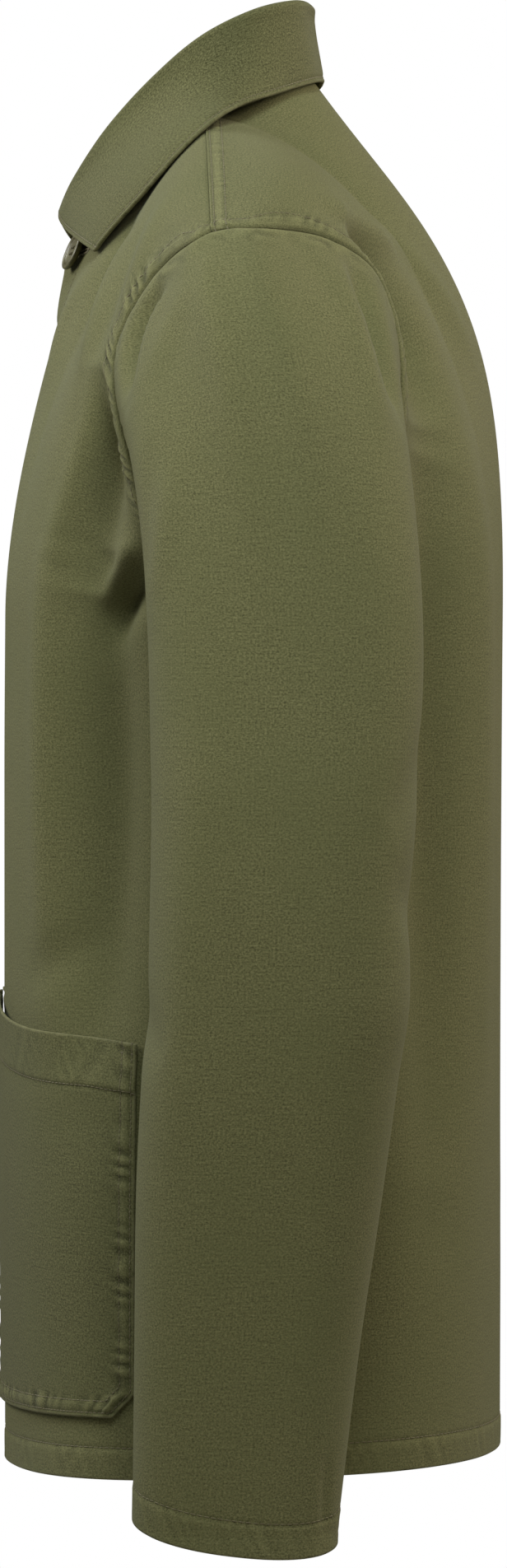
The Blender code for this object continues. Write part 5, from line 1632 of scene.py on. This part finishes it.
def spun_thread():
    """Sewing thread: olive, a little browner than the cloth, twisted."""
    made, wires, shader = finish_of("olive sewing thread")
    place = wires.add("ShaderNodeTexCoord").outputs["Object"]
    twist, drift = wires.noise(place, 2400.0, 1.0, 0.5), wires.noise(place, 60.0, 2.0, 0.5)
    twisted = wires.mix(twist, THREAD_DARK, THREAD_LIGHT)
    settings = {
        "Base Color": wires.mix(wires.math("MULTIPLY", drift, 0.35), twisted, THREAD_OLIVE),
        "Normal": wires.bump(twist, 0.4, 0.0001), "Roughness": 0.62, "Sheen Weight": 0.2,
    }
    return settle(made, wires, shader, settings)


def button_plastic():
    """Horn-look plastic: olive brown with soft streaks, satin, finely scratched."""
    made, wires, shader = finish_of("olive button plastic")
    place = wires.add("ShaderNodeTexCoord").outputs["Object"]
    streak = wires.noise(wires.stretch(place, 90.0, 90.0, 420.0), 1.0, 3.0, 0.55)
    fine = wires.noise(place, 3000.0, 2.0, 0.6)
    settings = {
        "Base Color": wires.mix(wires.step(streak, 0.32, 0.70), BUTTON_DARK, BUTTON_LIGHT),
        "Roughness": wires.math("MULTIPLY_ADD", fine, 0.16, 0.30),
        "Normal": wires.bump(fine, 0.15, 0.00005), "Specular IOR Level": 0.5, "Coat Weight": 0.12,
    }
    return settle(made, wires, shader, settings)


# ---------------- the studio
EYE = (3.9, 0.0203, -0.335)
LENS, SENSOR = 176.975, 36   # focal length and sensor height, in millimetres
FLOOR_HEIGHT = -1.46       # where the wearer would stand
LAMPS = {
    "above": {"at": (1.2, 0.0, 0.95), "size": 0.7, "power": 17.0, "tint": (0.88, 0.97, 1.00)},
    "front": {"at": (-0.5, -1.35, 0.75), "size": 0.75, "power": 13.0, "tint": (1.00, 1.00, 0.94)},
    "close": {"at": (0.2, -1.2, 0.35), "size": 0.7, "power": 7.5, "tint": (1.00, 1.00, 0.94)},
    "behind": {"at": (-0.5, 1.45, 0.55), "size": 0.8, "power": 19.5, "tint": (1.00, 0.90, 0.68)},
    "side": {"at": (3.2, 0.8, 0.9), "size": 1.0, "power": 21.0, "tint": (1.00, 0.93, 0.84)},
    "high": {"at": (2.2, 0.7, 1.2), "size": 0.9, "power": 4.5, "tint": (1.00, 0.97, 0.90)},
}
AIM = (0.10, 0.02, -0.25)
ROOM_LIGHT = 0.03          # how brightly the pale room itself lights the cloth
FLOOR_HALF = 5


def studio():
    """The eye, the lamps, the pale room and the floor."""
    eye = bpy.data.cameras.new("eye")
    eye.sensor_fit, eye.sensor_height, eye.lens = "VERTICAL", SENSOR, LENS
    stand = bpy.data.objects.new("eye", eye)
    stand.location = EYE
    stand.rotation_euler = Euler((math.pi / 2, 0, math.pi / 2))
    bpy.context.collection.objects.link(stand)
    bpy.context.scene.camera = stand
    for name, lamp in LAMPS.items():
        light = bpy.data.lights.new(name, "AREA")
        light.shape, light.size = "DISK", lamp["size"]
        light.energy, light.color = lamp["power"], lamp["tint"]
        lit = bpy.data.objects.new(name, light)
        lit.location = lamp["at"]
        lit.visible_camera = False
        lit.rotation_euler = (Vector(lamp["at"]) - Vector(AIM)).to_track_quat("Z", "Y").to_euler()
        bpy.context.collection.objects.link(lit)
    sky = bpy.data.worlds.new("pale studio")
    sky.use_nodes = True
    wires = Wires(sky.node_tree)
    ground = sky.node_tree.nodes["Background"]
    ground.inputs["Color"].default_value = (1, 1, 1, 1)
    seen = wires.add("ShaderNodeLightPath").outputs["Is Camera Ray"]
    wires.put(ground.inputs["Strength"], wires.math("MULTIPLY_ADD", seen, 1.0 - ROOM_LIGHT, ROOM_LIGHT))
    bpy.context.scene.world = sky
    bpy.context.scene.view_settings.view_transform = "Standard"
    square = ((-1, -1), (1, -1), (1, 1), (-1, 1))
    corners = [(FLOOR_HALF * x, FLOOR_HALF * y, FLOOR_HEIGHT) for x, y in square]
    floor = mesh_piece("floor", corners, [[0, 1, 2, 3]], floor_paint())


def floor_paint():
    """Pale matt paint."""
    made, wires, shader = finish_of("pale floor")
    return settle(made, wires, shader, {"Base Color": (0.62, 0.62, 0.61, 1), "Roughness": 0.9})


def main():
    """Builds the jacket piece by piece, names its panels, hangs every piece from the root and hides the
    solids that they replace.
    """
    weave, rubbed = canvas_weave(), rubbed_edge()
    body_canvas = canvas("olive cotton canvas", weave, rubbed, 0.35)
    # The pockets' deep darkening is painted shade: they are made darker than the front they lie on, as the
    # light falls off lower down.
    pocket_canvas_shaded = canvas("olive cotton canvas, pockets", weave, rubbed, 0.9, deep=0.14)
    collar_canvas = canvas("olive cotton canvas, collar", weave, rubbed, 0.8, deep=0.14)
    thread, plastic = spun_thread(), button_plastic()
    panels = {"back": back_cloth(body_canvas), "collar": collar_cloth(collar_canvas)}
    for side, word in ((1, "left"), (-1, "right")):
        panels[f"front_{word}"] = front_cloth(side, body_canvas)
        panels[f"sleeve_{word}"] = sleeve_cloth(side, body_canvas)
        panels[f"pocket_{word}"] = pocket_cloth(side, pocket_canvas_shaded)
    for name, panel in panels.items():
        panel.name = f"{name}_cloth"
        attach(panel, "root")
        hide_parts(name)
    tree = stitch_tree()
    for name in ROWS_OF_STITCHES:
        rows = stitched(name, tree, thread)
        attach(rows, "root")
    for number, height in enumerate(BUTTON_HEIGHTS, 1):
        made = button_piece(f"turned_button_{number}", height, plastic)
        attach(made, "root")
        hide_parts(f"button_{number}")
        for trim in (button_thread(number, height, thread), buttonhole(number, height, thread)):
            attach(trim, "root")
    studio()


main()
